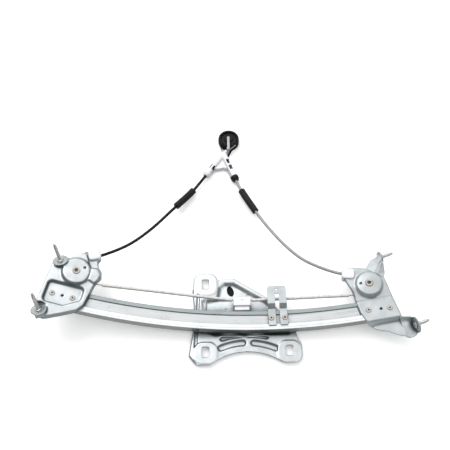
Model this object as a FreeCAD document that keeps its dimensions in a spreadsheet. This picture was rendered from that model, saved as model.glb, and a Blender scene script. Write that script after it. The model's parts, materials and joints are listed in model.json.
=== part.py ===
import FreeCAD, Part
import math
import operator
import os
import Sketcher
from FreeCAD import Placement, Rotation, Vector

# Window regulator: a curved channel rail with a bracket and a cable pulley at each end,
# a carrier that lifts the glass, and a drum that winds the two cables.
#
# The rail is part of a ring. Its lowest point is the reference for every other piece:
# X runs along the rail, Y across its web and Z away from the web's face. The ring's
# centre lies on a line that leans from Z towards Y. A station is the place on the web
# that lies a given arc length from the lowest point, and turns with the ring.

document = FreeCAD.newDocument("window_regulator")
sheet = document.addObject("Spreadsheet::Sheet", "Sizes")

SIZES = {
    # The ring, in millimetres and degrees, and the rail's lowest point in the part's frame
    "curve_radius": 1060,
    "curve_lean": 45,
    "rail_low_x": 42.8,
    "rail_low_y": -158,
    # Guide rail
    "rail_width": 32,
    "rail_depth": 14,
    "rail_sheet": 1.6,
    "rail_lip": 5,
    "rail_strip": 6.5,
    "rail_bead": 9.5,
    "web_step": 2,
    "rail_left_reach": 318,
    "rail_right_reach": 204,
    # End brackets
    "left_station": -305.4,
    "right_station": 185,
    "bracket_sheet": 2,
    "tray_height": 8,
    "tray_corner": 4,
    "dome_height": 13,
    "dome_radius": 21.5,
    "dome_taper": 10,
    "dome_round": 2.6,
    "dome_gap": 0.9,
    "hump_height": 11.5,
    "recess_top": 21.5,
    "recess_bottom": -17,
    "recess_left": -31.5,
    "recess_right": 27,
    "flange_drop": 10,
    "left_pulley_x": 5.5,
    "left_pulley_y": 44,
    "right_pulley_x": -2.5,
    "right_pulley_y": 40,
    # Mounting pads and studs
    "left_pad_radius": 13,
    "left_pad_height": 9,
    "upper_pad_radius": 10,
    "lower_pad_radius": 13,
    "stud_radius": 3,
    "stud_head_radius": 5.5,
    "stud_head": 1.5,
    "stud_collar_radius": 5,
    "stud_collar": 1.2,
    "left_stud_length": 31,
    "right_stud_length": 22,
    "stud_point": 5,
    "stud_point_radius": 2.2,
    # Pulleys and their rivets
    "pulley_radius": 17.6,
    "pulley_width": 8,
    "pulley_level": 3.2,
    "groove_depth": 3,
    "running_gap": 0.3,
    "axle_radius": 4,
    "axle_bore": 2.4,
    "axle_fit": 0.06,
    "axle_head_radius": 6.2,
    "axle_head": 1.4,
    # Cable, conduits and their fittings
    "cable_radius": 0.9,
    "sheath_radius": 2.6,
    "left_sheath_start": 43,
    "right_sheath_start": 33,
    "conduit_radius": 2.5,
    "left_cable_angle": 35,
    "right_cable_angle": 15,
    "socket_radius": 7,
    "socket_collar_radius": 8.5,
    "socket_length": 20,
    "spigot_radius": 2.5,
    "spigot_length": 6,
    "socket_collar": 3,
    "conduit_seat": 9,
    "conduit_lead": 22,
    "left_socket_run": 40,
    "right_socket_run": 34,
    "sleeve_radius": 6,
    "sleeve_length": 46,
    # Bracket rivets
    "rivet_radius": 2.5,
    "rivet_bore": 1.4,
    "rivet_head_radius": 4.4,
    "rivet_head": 1.2,
    "rivet_tail": 1.4,
    # Middle bracket
    "mid_station": 30.5,
    "seat_gap": 0.1,
    "mid_width": 30,
    "mid_top": 54,
    "mid_joggle": 19,
    "mid_foot": -9,
    "mid_rise": 8,
    "mid_sheet": 2,
    "mid_slot_width": 6.4,
    "mid_slot_top": 41,
    # Carrier
    "carrier_top": -15.6,
    "carrier_pan": 6,
    "carrier_sheet": 2,
    "carrier_arc": 93,
    "carrier_groove": 4,
    "ear_radius": 20,
    "glass_hole_width": 12,
    "glass_hole_height": 17,
    "glass_hole_round": 3,
    "slider_width": 30,
    "slider_gap": 0.3,
    "slider_head": 5,
    "left_slider": -72,
    "right_slider": 22,
    # Cable end block on the carrier
    "block_x": -25.5,
    "block_y": 35.5,
    "block_length": 29,
    "block_width": 21,
    "block_top": 1.5,
    "cable_level": -3,
    "nipple_radius": 3.2,
    "nipple_length": 9,
    # Drum and cable guide, lying beside the rail
    "drum_x": -41,
    "drum_y": 363,
    "drum_radius": 18.5,
    "drum_height": 12,
    "drum_hub_radius": 7,
    "drum_bore": 4.5,
    "drum_groove": 1.6,
    "drum_groove_pitch": 2.4,
    "drum_grooves": 4,
    "drum_notches": 14,
    "keeper_sheet": 2,
    "strap_width": 5.5,
    "strap_sheet": 2,
    "guide_x": -51,
    "guide_y": 331,
    "guide_arm_radius": 6.3,
    "spring_radius": 4.2,
    "spring_pitch": 5,
    "collar_radius": 7.2,
    "collar_length": 9,
}


class Size(float):
    """A number together with the sheet expression that gives it."""

    def __new__(cls, value, text):
        size = super().__new__(cls, value)
        size.text = text
        return size

    def __add__(self, other):
        return joined(self, "+", other)

    def __radd__(self, other):
        return joined(other, "+", self)

    def __sub__(self, other):
        return joined(self, "-", other)

    def __rsub__(self, other):
        return joined(other, "-", self)

    def __mul__(self, other):
        return joined(self, "*", other)

    def __rmul__(self, other):
        return joined(other, "*", self)

    def __truediv__(self, other):
        return joined(self, "/", other)

    def __neg__(self):
        return joined(0, "-", self)


OPERATIONS = {"+": operator.add, "-": operator.sub, "*": operator.mul, "/": operator.truediv}


def text_of(number):
    return number.text if isinstance(number, Size) else repr(float(number))


def joined(left, sign, right):
    value = OPERATIONS[sign](float(left), float(right))
    return Size(value, f"({text_of(left)} {sign} {text_of(right)})")


def sine(angle):
    return Size(math.sin(math.radians(angle)), f"sin({text_of(angle)} * 1 deg)")


def cosine(angle):
    return Size(math.cos(math.radians(angle)), f"cos({text_of(angle)} * 1 deg)")


def fill_sheet():
    """Write the driving dimensions into the sheet, one aliased cell each."""
    sizes = {}
    for row, (name, value) in enumerate(SIZES.items(), start=1):
        sheet.set(f"A{row}", name)
        sheet.set(f"B{row}", str(value))
        sheet.setAlias(f"B{row}", name)
        sizes[name] = Size(value, f"Sizes.{name}")
    document.recompute()
    return sizes


size = fill_sheet()
sub_parts = {}
DEGREES = 180 / math.pi
FRONT = Vector(0, 0, 1)


# Places on the ring

lean = size["curve_lean"]
radius = size["curve_radius"]
to_centre = Vector(0, sine(lean), cosine(lean))
ring_axis = Vector(0, -cosine(lean), sine(lean))
carrier_under = size["carrier_top"] - size["carrier_pan"] - size["carrier_sheet"]
rail_low = Vector(size["rail_low_x"], size["rail_low_y"], -carrier_under)
ring_centre = rail_low + to_centre * radius


def station(arc):
    """The frame on the rail's web at an arc length from its lowest point."""
    turn = Placement(Vector(), Rotation(ring_axis, arc / radius * DEGREES), ring_centre)
    return turn * Placement(rail_low, Rotation())


def within(frame, x=0, y=0, z=0, direction=FRONT):
    """A frame inside another, with its Z axis along a direction."""
    return frame * Placement(Vector(x, y, z), Rotation(FRONT, Vector(direction)))


ground = station(0)
left_frame = station(size["left_station"])
right_frame = station(size["right_station"])
mid_frame = within(station(size["mid_station"]), 0, 0, size["seat_gap"])


# Building blocks

def bind(item, path, value):
    """Set a property and tie it to the sheet when the value comes from there."""
    if isinstance(value, Size):
        item.setExpression(path, value.text)
    else:
        setattr(item, path, value)


def new_body(label, frame):
    body = document.addObject("PartDesign::Body", label)
    body.Label = label
    body.Placement = frame
    return body


def sketch_on(body, plane, name, level=0):
    """A sketch on one of the body's own planes, lifted by a level."""
    sketch = body.newObject("Sketcher::SketchObject", f"{body.Name}_{name}")
    support = next(item for item in body.Origin.OriginFeatures if item.Role == plane)
    sketch.AttachmentSupport = [(support, "")]
    sketch.MapMode = "FlatFace"
    if level:
        sketch.AttachmentOffset = Placement(Vector(0, 0, level), Rotation())
        if isinstance(level, Size):
            sketch.setExpression("AttachmentOffset.Base.z", level.text)
    return sketch


def fix(sketch, kind, value, *where):
    """Add a dimension and tie it to the sheet when its value comes from there."""
    index = sketch.addConstraint(Sketcher.Constraint(kind, *where, float(value)))
    if isinstance(value, Size):
        sketch.setExpression(f"Constraints[{index}]", value.text)


def outline(sketch, points):
    """A closed outline through points, each fixed from the sketch's origin."""
    first = sketch.GeometryCount
    count = len(points)
    for index, point in enumerate(points):
        following = points[(index + 1) % count]
        sketch.addGeometry(Part.LineSegment(Vector(*point, 0), Vector(*following, 0)), False)
    for index in range(count):
        following = first + (index + 1) % count
        sketch.addConstraint(Sketcher.Constraint("Coincident", first + index, 2, following, 1))
    for index, (across, up) in enumerate(points):
        fix(sketch, "DistanceX", across, -1, 1, first + index, 1)
        fix(sketch, "DistanceY", up, -1, 1, first + index, 1)


def circle(sketch, across, up, circle_radius):
    centre = Vector(across, up, 0)
    index = sketch.addGeometry(Part.Circle(centre, FRONT, float(circle_radius)), False)
    fix(sketch, "DistanceX", across, -1, 1, index, 3)
    fix(sketch, "DistanceY", up, -1, 1, index, 3)
    fix(sketch, "Radius", circle_radius, index)


def box_outline(sketch, across, up, width, height):
    """A rectangle about its middle."""
    right, left = across + width / 2, across - width / 2
    top, bottom = up + height / 2, up - height / 2
    outline(sketch, [(left, bottom), (right, bottom), (right, top), (left, top)])


def feature(body, kind, name, profile, **values):
    """A sketch-based feature of a body, with its sizes tied to the sheet."""
    item = body.newObject(f"PartDesign::{kind}", f"{body.Name}_{name}")
    item.Profile = profile
    for path, value in values.items():
        bind(item, path, value)
    document.recompute()
    if "Invalid" in item.State:
        raise RuntimeError(f"{item.Name} could not be made")
    if kind in ("Pocket", "Groove") and item.Shape.Volume > item.BaseFeature.Shape.Volume - 1e-3:
        raise RuntimeError(f"{item.Name} cuts nothing")
    return item


def pad(body, name, profile, length, **values):
    return feature(body, "Pad", name, profile, Length=length, **values)


def pocket(body, name, profile, length, **values):
    return feature(body, "Pocket", name, profile, Length=length, **values)


def round_edges(body, name, base, fillet_radius, chosen):
    """Round the edges of a feature that a test picks."""
    edges = [f"Edge{index}" for index, edge in enumerate(base.Shape.Edges, 1) if chosen(edge)]
    item = body.newObject("PartDesign::Fillet", f"{body.Name}_{name}")
    item.Base = (base, edges)
    bind(item, "Radius", fillet_radius)
    document.recompute()
    if "Invalid" in item.State:
        raise RuntimeError(f"{item.Name} could not be made")
    return item


def upright(edge):
    """True for an edge that runs along Z."""
    ends = [vertex.Point for vertex in edge.Vertexes]
    return len(ends) == 2 and abs(ends[0].z - ends[1].z) > 0.9 * edge.Length


def all_above(edge, level):
    return min(edge.valueAt(edge.FirstParameter).z, edge.valueAt(edge.LastParameter).z) > level


def turned(label, profile, frame, count_as_part=True):
    """A round piece: a profile of radius and height points, turned about Z."""
    body = new_body(label, frame)
    sketch = sketch_on(body, "XZ_Plane", "profile")
    outline(sketch, profile)
    feature(body, "Revolution", "turn", sketch, Angle=360, ReferenceAxis=(sketch, ["V_Axis"]))
    if count_as_part:
        sub_parts[label] = body
    return body


def cylinder(name, cylinder_radius, height, frame):
    item = document.addObject("Part::Cylinder", name)
    bind(item, "Radius", cylinder_radius)
    bind(item, "Height", height)
    item.Placement = frame
    return item


def block(name, length, width, height, frame):
    """A box about the middle of its base."""
    item = document.addObject("Part::Box", name)
    bind(item, "Length", length)
    bind(item, "Width", width)
    bind(item, "Height", height)
    item.Placement = frame * Placement(Vector(-length / 2, -width / 2, 0), Rotation())
    return item


def shape_feature(name, shape):
    item = document.addObject("Part::Feature", name)
    item.Shape = shape
    return item


def join(name, items):
    item = document.addObject("Part::MultiFuse", name)
    item.Shapes = items
    item.Refine = True
    document.recompute()
    return item


def cut(name, base, tools):
    """A base less one or more tools."""
    item = document.addObject("Part::Cut", name)
    item.Base = base
    item.Tool = tools[0] if len(tools) == 1 else join(f"{name}_tools", tools)
    item.Refine = True
    document.recompute()
    return item


def group(label, items):
    """Identical pieces that share one node, each a solid of its own."""
    item = document.addObject("Part::Compound", label)
    item.Label = label
    item.Links = items
    sub_parts[label] = item
    return item


# Studs: a head behind the sheet, a collar in front of it and a long shank with a point

def stud(label, length, frame):
    """A clinched stud, seated with the sheet's front face at its zero."""
    shank, back = size["stud_radius"], -size["bracket_sheet"]
    head, collar = size["stud_head_radius"], size["stud_collar_radius"]
    turned(label, [
        (0, back - size["stud_head"]), (head, back - size["stud_head"]), (head, back),
        (shank, back), (shank, 0), (collar, 0), (collar, size["stud_collar"]),
        (shank, size["stud_collar"]), (shank, length - size["stud_point"]),
        (size["stud_point_radius"], length - size["stud_point"] * 0.7),
        (size["stud_point_radius"], length), (0, length),
    ], frame)


LEFT_STUD = Vector(-0.44, 0.40, 0.80)
RIGHT_STUD = Vector(0.95, 0.24, -0.19)
upper_left_pad = within(left_frame, -24, 56, size["tray_height"], LEFT_STUD)
lower_left_pad = within(left_frame, -30.5, -31.5, size["tray_height"] - 1, LEFT_STUD)
upper_right_pad = within(right_frame, 27.5, 85.5, 0, RIGHT_STUD)
lower_right_pad = within(right_frame, 53.5, -35.5, -4, RIGHT_STUD)

stud("left_upper_stud", size["left_stud_length"], upper_left_pad)
stud("left_lower_stud", size["left_stud_length"], lower_left_pad)
stud("right_upper_stud", size["right_stud_length"], upper_right_pad)
stud("right_lower_stud", size["right_stud_length"], lower_right_pad)


# Rivets that hold each bracket to the rail's web

web_face = -size["web_step"]
web_back = web_face - size["rail_sheet"]


def bracket_rivet(name, frame, top, bottom):
    """A tubular rivet from a head on the bracket to a rolled tail behind the rail."""
    shank, bore = size["rivet_radius"], size["rivet_bore"]
    head, tail = size["rivet_head_radius"], size["rivet_head_radius"] - 0.6
    return turned(name, [
        (bore, bottom - size["rivet_tail"]), (tail, bottom - size["rivet_tail"]),
        (tail, bottom), (shank, bottom), (shank, top), (head, top),
        (head - 0.5, top + size["rivet_head"]), (bore, top + size["rivet_head"]),
    ], frame, count_as_part=False)


def hole_tool(name, frame, hole_radius, low, high):
    return cylinder(name, hole_radius, high - low, within(frame, 0, 0, low))


RIVETS = {
    "left_bracket_rivets": (left_frame, [(-20, 1.8), (12, 1.8)], size["bracket_sheet"]),
    "right_bracket_rivets": (right_frame, [(-13, -0.5), (20, -3)], size["bracket_sheet"]),
    "mid_bracket_rivets": (mid_frame, [(-10.6, 2.8), (10.6, 2.8)], size["mid_sheet"]),
}
rivet_hole = size["rivet_radius"] + size["axle_fit"]
rivet_tools = {}
for label, (frame, places, top) in RIVETS.items():
    rivets = []
    rivet_tools[label] = []
    for number, (across, up) in enumerate(places, 1):
        seat = within(frame, across, up)
        rivets.append(bracket_rivet(f"{label}_{number}", seat, top, web_back - size["seat_gap"]))
        rivet_tools[label].append((f"{label}_hole_{number}", seat))
    group(label, rivets)


def rivet_hole_tools(label, owner):
    """Cutters for one bracket's rivet holes, long enough for sheet and web."""
    low, high = web_back - size["rivet_tail"], size["tray_height"]
    return [
        hole_tool(f"{owner}_{name}", seat, rivet_hole, low, high)
        for name, seat in rivet_tools[label]
    ]


# Guide rail: a stepped channel profile turned about the ring's axis

def guide_rail():
    body = new_body("guide_rail_channel", station(-size["rail_left_reach"]))
    sketch = sketch_on(body, "YZ_Plane", "profile")
    side, depth, thick = size["rail_width"] / 2, -size["rail_depth"], size["rail_sheet"]
    lip = side - size["rail_lip"]
    strip = side - size["rail_strip"]
    bead = size["rail_bead"] - side
    step = -size["web_step"]
    outline(sketch, [
        (lip, depth), (side, depth), (side, 0), (strip, 0), (strip, step),
        (bead, step), (bead, 0), (-side, 0), (-side, depth), (-lip, depth),
        (-lip, depth + thick), (thick - side, depth + thick), (thick - side, -thick),
        (bead - thick, -thick), (bead - thick, step - thick),
        (strip + thick, step - thick), (strip + thick, -thick),
        (side - thick, -thick), (side - thick, depth + thick), (lip, depth + thick),
    ])
    centre_y, centre_z = radius * sine(lean), radius * cosine(lean)
    tip_y, tip_z = centre_y - 100 * cosine(lean), centre_z + 100 * sine(lean)
    line = Part.LineSegment(Vector(centre_y, centre_z, 0), Vector(tip_y, tip_z, 0))
    axis = sketch.addGeometry(line, True)
    for end, (across, up) in ((1, (centre_y, centre_z)), (2, (tip_y, tip_z))):
        fix(sketch, "DistanceX", across, -1, 1, axis, end)
        fix(sketch, "DistanceY", up, -1, 1, axis, end)
    reach = size["rail_left_reach"] + size["rail_right_reach"]
    turn = feature(body, "Revolution", "sweep", sketch, Angle=reach / radius * DEGREES,
                   ReferenceAxis=(sketch, ["Axis0"]))
    round_edges(body, "bends", turn, thick * 0.75, lambda edge: is_bend(edge, side))
    tools = [tool for label in RIVETS for tool in rivet_hole_tools(label, "rail")]
    rail = cut("guide_rail", body, tools)
    rail.Label = "guide_rail"
    sub_parts["guide_rail"] = rail


def is_bend(edge, side):
    """True for the two long outer edges of the web."""
    start = edge.valueAt(edge.FirstParameter)
    end = edge.valueAt(edge.LastParameter)
    long_enough = edge.Length > 100
    near = min((start.x, start.y, start.z), (end.x, end.y, end.z), key=lambda point: abs(point[0]))
    return long_enough and abs(abs(near[1]) - side) < 0.01 and abs(near[2]) < 0.01


guide_rail()


# Pulleys, each on a tubular rivet that also closes the dome over it

def pulley(label, frame, across, up):
    """A grooved wheel with a hub that stands on the rivet's flange."""
    half, rim = size["pulley_width"] / 2, size["pulley_radius"]
    level = size["pulley_level"]
    root = rim - size["groove_depth"]
    bore = size["axle_radius"] + size["axle_fit"]
    mouth, seat = half - 1, size["cable_radius"] + size["running_gap"]
    hub = bore + 3.5
    web = half - 2
    turned(label, [
        (bore, level - half), (hub, level - half), (hub + 1, level - web),
        (root - 3.5, level - web), (root - 2.5, level - half), (rim, level - half),
        (rim, level - mouth), (root, level - seat), (root, level + seat),
        (rim, level + mouth), (rim, level + half), (root - 2.5, level + half),
        (root - 3.5, level + web), (hub + 1, level + web), (hub, level + half),
        (bore, level + half),
    ], within(frame, across, up))


def pulley_rivet(label, frame, across, up):
    """The axle: a head on the dome, a shank through the wheel and a flange behind it."""
    top = size["dome_height"]
    back = size["pulley_level"] - size["pulley_width"] / 2 - size["running_gap"]
    shank, bore, head = size["axle_radius"], size["axle_bore"], size["axle_head_radius"]
    thick = size["axle_head"]
    turned(label, [
        (bore, back - thick), (head, back - thick), (head, back), (shank, back),
        (shank, top), (head, top), (head - 0.6, top + thick), (bore + 0.8, top + thick),
        (bore, top + thick - 0.8),
    ], within(frame, across, up))


left_centre = (size["left_pulley_x"], size["left_pulley_y"])
right_centre = (size["right_pulley_x"], size["right_pulley_y"])
pulley("left_pulley", left_frame, *left_centre)
pulley("right_pulley", right_frame, *right_centre)
pulley_rivet("left_pulley_rivet", left_frame, *left_centre)
pulley_rivet("right_pulley_rivet", right_frame, *right_centre)


# Cables leave each pulley towards the carrier and towards a conduit socket

wrap_radius = (size["pulley_radius"] - size["groove_depth"] + size["cable_radius"]
               + size["running_gap"])
pulley_level = size["pulley_level"]


def socket_frame(frame, centre, angle, side, run):
    """A frame whose Z axis runs out along the cable, tangent to the pulley's far side."""
    slope = Vector(side * cosine(angle), sine(angle), 0)
    outward = Vector(-side * sine(angle), cosine(angle), 0)
    tangent = Vector(*centre, pulley_level) + outward * wrap_radius
    start = tangent + slope * run
    return within(frame, *start, slope), tangent, start


left_socket, left_leave, left_start = socket_frame(
    left_frame, left_centre, size["left_cable_angle"], 1, size["left_socket_run"] - size["socket_length"])
right_socket, right_leave, right_start = socket_frame(
    right_frame, right_centre, size["right_cable_angle"], -1, size["right_socket_run"] - size["socket_length"])


def socket(label, frame):
    """A moulded end cap that seats the conduit and lets the cable through."""
    outer, length = size["socket_radius"], size["socket_length"]
    collar, spigot = size["socket_collar_radius"], size["spigot_radius"]
    bore = size["cable_radius"] + size["running_gap"]
    seat, mouth = size["conduit_radius"], length - size["conduit_seat"]
    shoulder = size["spigot_length"]
    rim = shoulder + size["socket_collar"]
    turned(label, [
        (bore, 0), (spigot, 0), (spigot, shoulder), (collar, shoulder), (collar, rim),
        (outer, rim), (outer, length - 4), (outer - 2.5, length), (seat, length),
        (seat, mouth), (bore, mouth),
    ], frame)


socket("left_conduit_socket", left_socket)
socket("right_conduit_socket", right_socket)


def lower_tangent(frame, centre, side, far):
    """Where a straight cable to a far point leaves the pulley's rail side."""
    target = frame.inverse().multVec(far)
    hub = Vector(*centre, pulley_level)
    gap = Vector(target.x - hub.x, target.y - hub.y, 0)
    swing = math.degrees(math.acos(wrap_radius / gap.Length))
    outward = Rotation(FRONT, -side * swing).multVec(gap.normalize())
    return hub + outward * wrap_radius


def nipple_face(side):
    """The middle of a nipple's outer face, where its cable run ends."""
    reach = size["nipple_length"] + size["running_gap"]
    return ground.multVec(Vector(size["block_x"] + side * reach, size["block_y"],
                                 size["cable_level"]))


def rod(name, start, end, rod_radius):
    """A straight round length between two points."""
    along = end - start
    return cylinder(name, rod_radius, along.Length, Placement(start, Rotation(FRONT, along)))


def straight_cable(label, start, end):
    item = rod(label, start, end, size["cable_radius"])
    item.Label = label
    sub_parts[label] = item


def six_sided(reach, frame):
    """A plain section for a thin cable."""
    corners = [frame.multVec(Rotation(FRONT, 60 * number).multVec(Vector(reach, 0, 0)))
               for number in range(6)]
    return Part.makePolygon(corners + corners[:1])


def cable(side_name, frame, centre, side, leave, start, block_end):
    """The straight run to the carrier, and the wrap that goes on to the socket."""
    meet = lower_tangent(frame, centre, side, block_end)
    pulley_end = frame.multVec(meet)
    along = (block_end - pulley_end).normalize()
    straight_cable(f"{side_name}_cable_run", pulley_end + along * size["running_gap"], block_end)
    sheath_start = pulley_end + along * size[f"{side_name}_sheath_start"]
    to_block = size["block_length"] / 2 - size["nipple_length"] + 2 * size["running_gap"]
    sheath_end = block_end - along * to_block
    core = rod(f"{side_name}_sheath_bore", pulley_end, block_end, size["cable_radius"])
    skin = rod(f"{side_name}_sheath_skin", sheath_start, sheath_end, size["sheath_radius"])
    sheath = cut(f"{side_name}_cable_sheath", skin, [core])
    sheath.Label = f"{side_name}_cable_sheath"
    sub_parts[sheath.Label] = sheath
    hub = Vector(*centre, pulley_level)
    back = Vector(-side, 0, 0) * wrap_radius
    end = start + (start - leave).normalize() * (size["socket_length"] - size["conduit_seat"])
    path = Part.Wire([
        Part.Arc(meet, hub + back, leave).toShape(),
        Part.LineSegment(leave, end).toShape(),
    ])
    section = six_sided(size["cable_radius"], Placement(meet, Rotation(FRONT, (meet - hub).cross(FRONT))))
    wrap = shape_feature(f"{side_name}_cable_wrap", path.makePipeShell([section], True, True))
    wrap.Placement = frame
    wrap.Label = f"{side_name}_cable_wrap"
    sub_parts[wrap.Label] = wrap


cable("left", left_frame, left_centre, 1, left_leave, left_start, nipple_face(-1))
cable("right", right_frame, right_centre, -1, right_leave, right_start, nipple_face(1))


# Left bracket: a pressed tray with a raised dome, a recess on the rail and two stud bosses

def boss_tools(name, frame):
    """The space behind a stud boss, and the stud's hole."""
    inner = size["left_pad_radius"] - size["bracket_sheet"]
    depth = size["left_pad_height"] + size["bracket_sheet"]
    low = -size["bracket_sheet"] - depth
    return [
        cylinder(f"{name}_hollow", inner, depth, within(frame, 0, 0, low)),
        cylinder(f"{name}_front", size["left_pad_radius"], depth, frame),
        hole_tool(f"{name}_hole", frame, size["stud_radius"], low, size["bracket_sheet"]),
    ]


def boss(name, frame):
    height = size["left_pad_height"]
    return cylinder(name, size["left_pad_radius"], height, within(frame, 0, 0, -height))


def beside_socket(centre, angle, side, run, across, inward=0):
    """A point on the sheet's edge that the socket's collar bears on."""
    reach = wrap_radius + across
    out = run - size["socket_length"] + size["spigot_length"] - size["running_gap"] - inward
    return (centre[0] - side * sine(angle) * reach + side * cosine(angle) * out,
            centre[1] + cosine(angle) * reach + sine(angle) * out)


def left_bracket():
    body = new_body("left_bracket_pressing", left_frame)
    sheet_thick, rim = size["bracket_sheet"], size["tray_height"]
    sketch = sketch_on(body, "XY_Plane", "rim")
    place = (left_centre, size["left_cable_angle"], 1, size["left_socket_run"])
    outline(sketch, [
        (-35, 48), (-25, 66), (-8, 68), beside_socket(*place, 9.5), beside_socket(*place, -9.5),
        (39, 66), (48, 54), (43, 36), (39, 14), (31, -13), (-16, -42), (-30, -46),
        (-42, -38), (-40, -20),
    ])
    tray = pad(body, "tray", sketch, rim)
    tray = round_edges(body, "corners", tray, size["tray_corner"], upright)
    sketch = sketch_on(body, "XY_Plane", "dome_rim")
    circle(sketch, *left_centre, size["dome_radius"])
    dome = pad(body, "dome", sketch, size["dome_height"], TaperAngle=-size["dome_taper"])
    shell = round_edges(body, "bends", dome, size["dome_round"],
                        lambda edge: all_above(edge, rim - 0.1))
    hollow = body.newObject("PartDesign::Thickness", "left_bracket_wall")
    open_face = next(f"Face{index}" for index, face in enumerate(shell.Shape.Faces, 1)
                     if abs(face.CenterOfMass.z) < 0.001)
    hollow.Base = (shell, [open_face])
    bind(hollow, "Value", sheet_thick)
    hollow.Reversed = True
    document.recompute()
    left, right = size["recess_left"], size["recess_right"]
    top, bottom = size["recess_top"], size["recess_bottom"]
    sketch = sketch_on(body, "XY_Plane", "recess_wall")
    outline(sketch, [
        (left - sheet_thick, top + sheet_thick), (left - sheet_thick, bottom - sheet_thick),
        (right - 24, bottom - sheet_thick), (right + sheet_thick, bottom + 14),
        (right + sheet_thick, top + sheet_thick),
    ])
    pad(body, "recess_cup", sketch, rim - 0.5)
    sketch = sketch_on(body, "XY_Plane", "recess", rim + 5)
    outline(sketch, [
        (left, top), (left, bottom), (right - 24, bottom), (right, bottom + 14), (right, top),
    ])
    recess = pocket(body, "recess", sketch, rim + 5 - sheet_thick)
    round_edges(body, "recess_corners", recess, size["tray_corner"] - 1,
                lambda edge: upright(edge) and in_recess(edge))
    hump = size["hump_height"]
    sketch = sketch_on(body, "XY_Plane", "hump", rim - sheet_thick)
    outline(sketch, [(22, 32), (37, 29), (44, 34), (46, 50), (37, 59), (18, 58)])
    rise = pad(body, "hump", sketch, hump - rim + sheet_thick)
    round_edges(body, "hump_corners", rise, 3,
                lambda edge: upright(edge) and edge.CenterOfMass.z > rim
                       and edge.CenterOfMass.x > 30)
    sketch = sketch_on(body, "XY_Plane", "hump_space", hump - sheet_thick)
    outline(sketch, [(20, 34), (36, 31), (42, 35), (44, 49), (36, 57), (20, 56)])
    pocket(body, "hump_space", sketch, hump - sheet_thick)
    joined_sheet = join("left_bracket_sheet", [
        body, boss("left_upper_boss", upper_left_pad), boss("left_lower_boss", lower_left_pad),
    ])
    x, y = left_centre
    axle_hole = size["axle_radius"] + size["axle_fit"]
    small_hole = within(left_frame, x + 11.5, y + 8)
    tools = boss_tools("left_upper_boss", upper_left_pad)
    tools += boss_tools("left_lower_boss", lower_left_pad)
    tools += rivet_hole_tools("left_bracket_rivets", "left")
    tools += [
        hole_tool("left_axle_hole", within(left_frame, x, y), axle_hole, 0, rim * 2),
        hole_tool("left_small_hole", small_hole, 2.2, rim, rim * 2),
        hole_tool("left_centre_hole", within(left_frame, -4, 1.8), 2.2, -1, rim),
        sub_parts["guide_rail"],
        hole_tool("left_dome_space", within(left_frame, x, y),
                  size["pulley_radius"] + size["dome_gap"], 0, rim),
        spigot_slot("left_socket_slot", left_frame, place),
        block("left_cable_slot", 24, 13, rim + 2, within(left_frame, 44, 34, -2)),
    ]
    bracket = cut("left_bracket", joined_sheet, tools)
    bracket.Label = "left_bracket"
    sub_parts["left_bracket"] = bracket


def in_recess(edge):
    middle = edge.CenterOfMass
    left, right = size["recess_left"], size["recess_right"]
    top, bottom = size["recess_top"], size["recess_bottom"]
    return left - 0.1 < middle.x < right + 0.1 and bottom - 0.1 < middle.y < top + 0.1


def at_socket(frame, place, height, inward=0):
    """A level frame on the socket's axis at the sheet's edge, with X along the cable."""
    _, angle, side, _ = place
    x, y = beside_socket(*place, 0, inward)
    turn = angle if side > 0 else 180 - angle
    return frame * Placement(Vector(x, y, height), Rotation(FRONT, turn))


def spigot_slot(name, frame, place):
    """The slot in the wall that the socket's spigot drops into from behind."""
    reach = size["spigot_radius"] + size["running_gap"]
    thick = size["bracket_sheet"]
    return block(name, 4 * thick, 2 * reach, size["pulley_level"] + reach + 4 * thick,
                 at_socket(frame, place, -4 * thick))


left_bracket()


# Right bracket: a folded sheet with a dome, a lower flange and two ears that carry studs

def ear(name, frame, corners, pad_frame, pad_radius, grip):
    """A twisted arm from the sheet's edge to a round pad square to its stud."""
    thick = size["bracket_sheet"]
    edge = [frame.multVec(Vector(*corner)) for corner in corners]
    ends = [pad_frame.multVec(Vector(*corner)) for corner in grip]
    arm = Part.makeLoft([Part.makePolygon(edge + edge[:1]), Part.makePolygon(ends + ends[:1])],
                        True, True)
    return [
        shape_feature(f"{name}_arm", arm),
        cylinder(f"{name}_pad", pad_radius, thick, within(pad_frame, 0, 0, -thick)),
    ]


def stud_clearance(name, frame):
    """The stud's hole, and clear faces on both sides for its head and its collar."""
    back = -size["bracket_sheet"]
    head = size["stud_head_radius"] + size["running_gap"]
    return [
        hole_tool(f"{name}_stud_hole", frame, size["stud_radius"], back - 1, 1),
        hole_tool(f"{name}_stud_back", frame, head, 4 * back, back),
        hole_tool(f"{name}_stud_front", frame, head, 0, 12),
    ]


def clear_of_folds(edge):
    """True beyond the slopes that cross the sheet."""
    middle = edge.CenterOfMass
    return middle.y > 40 or middle.y < -28


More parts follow.
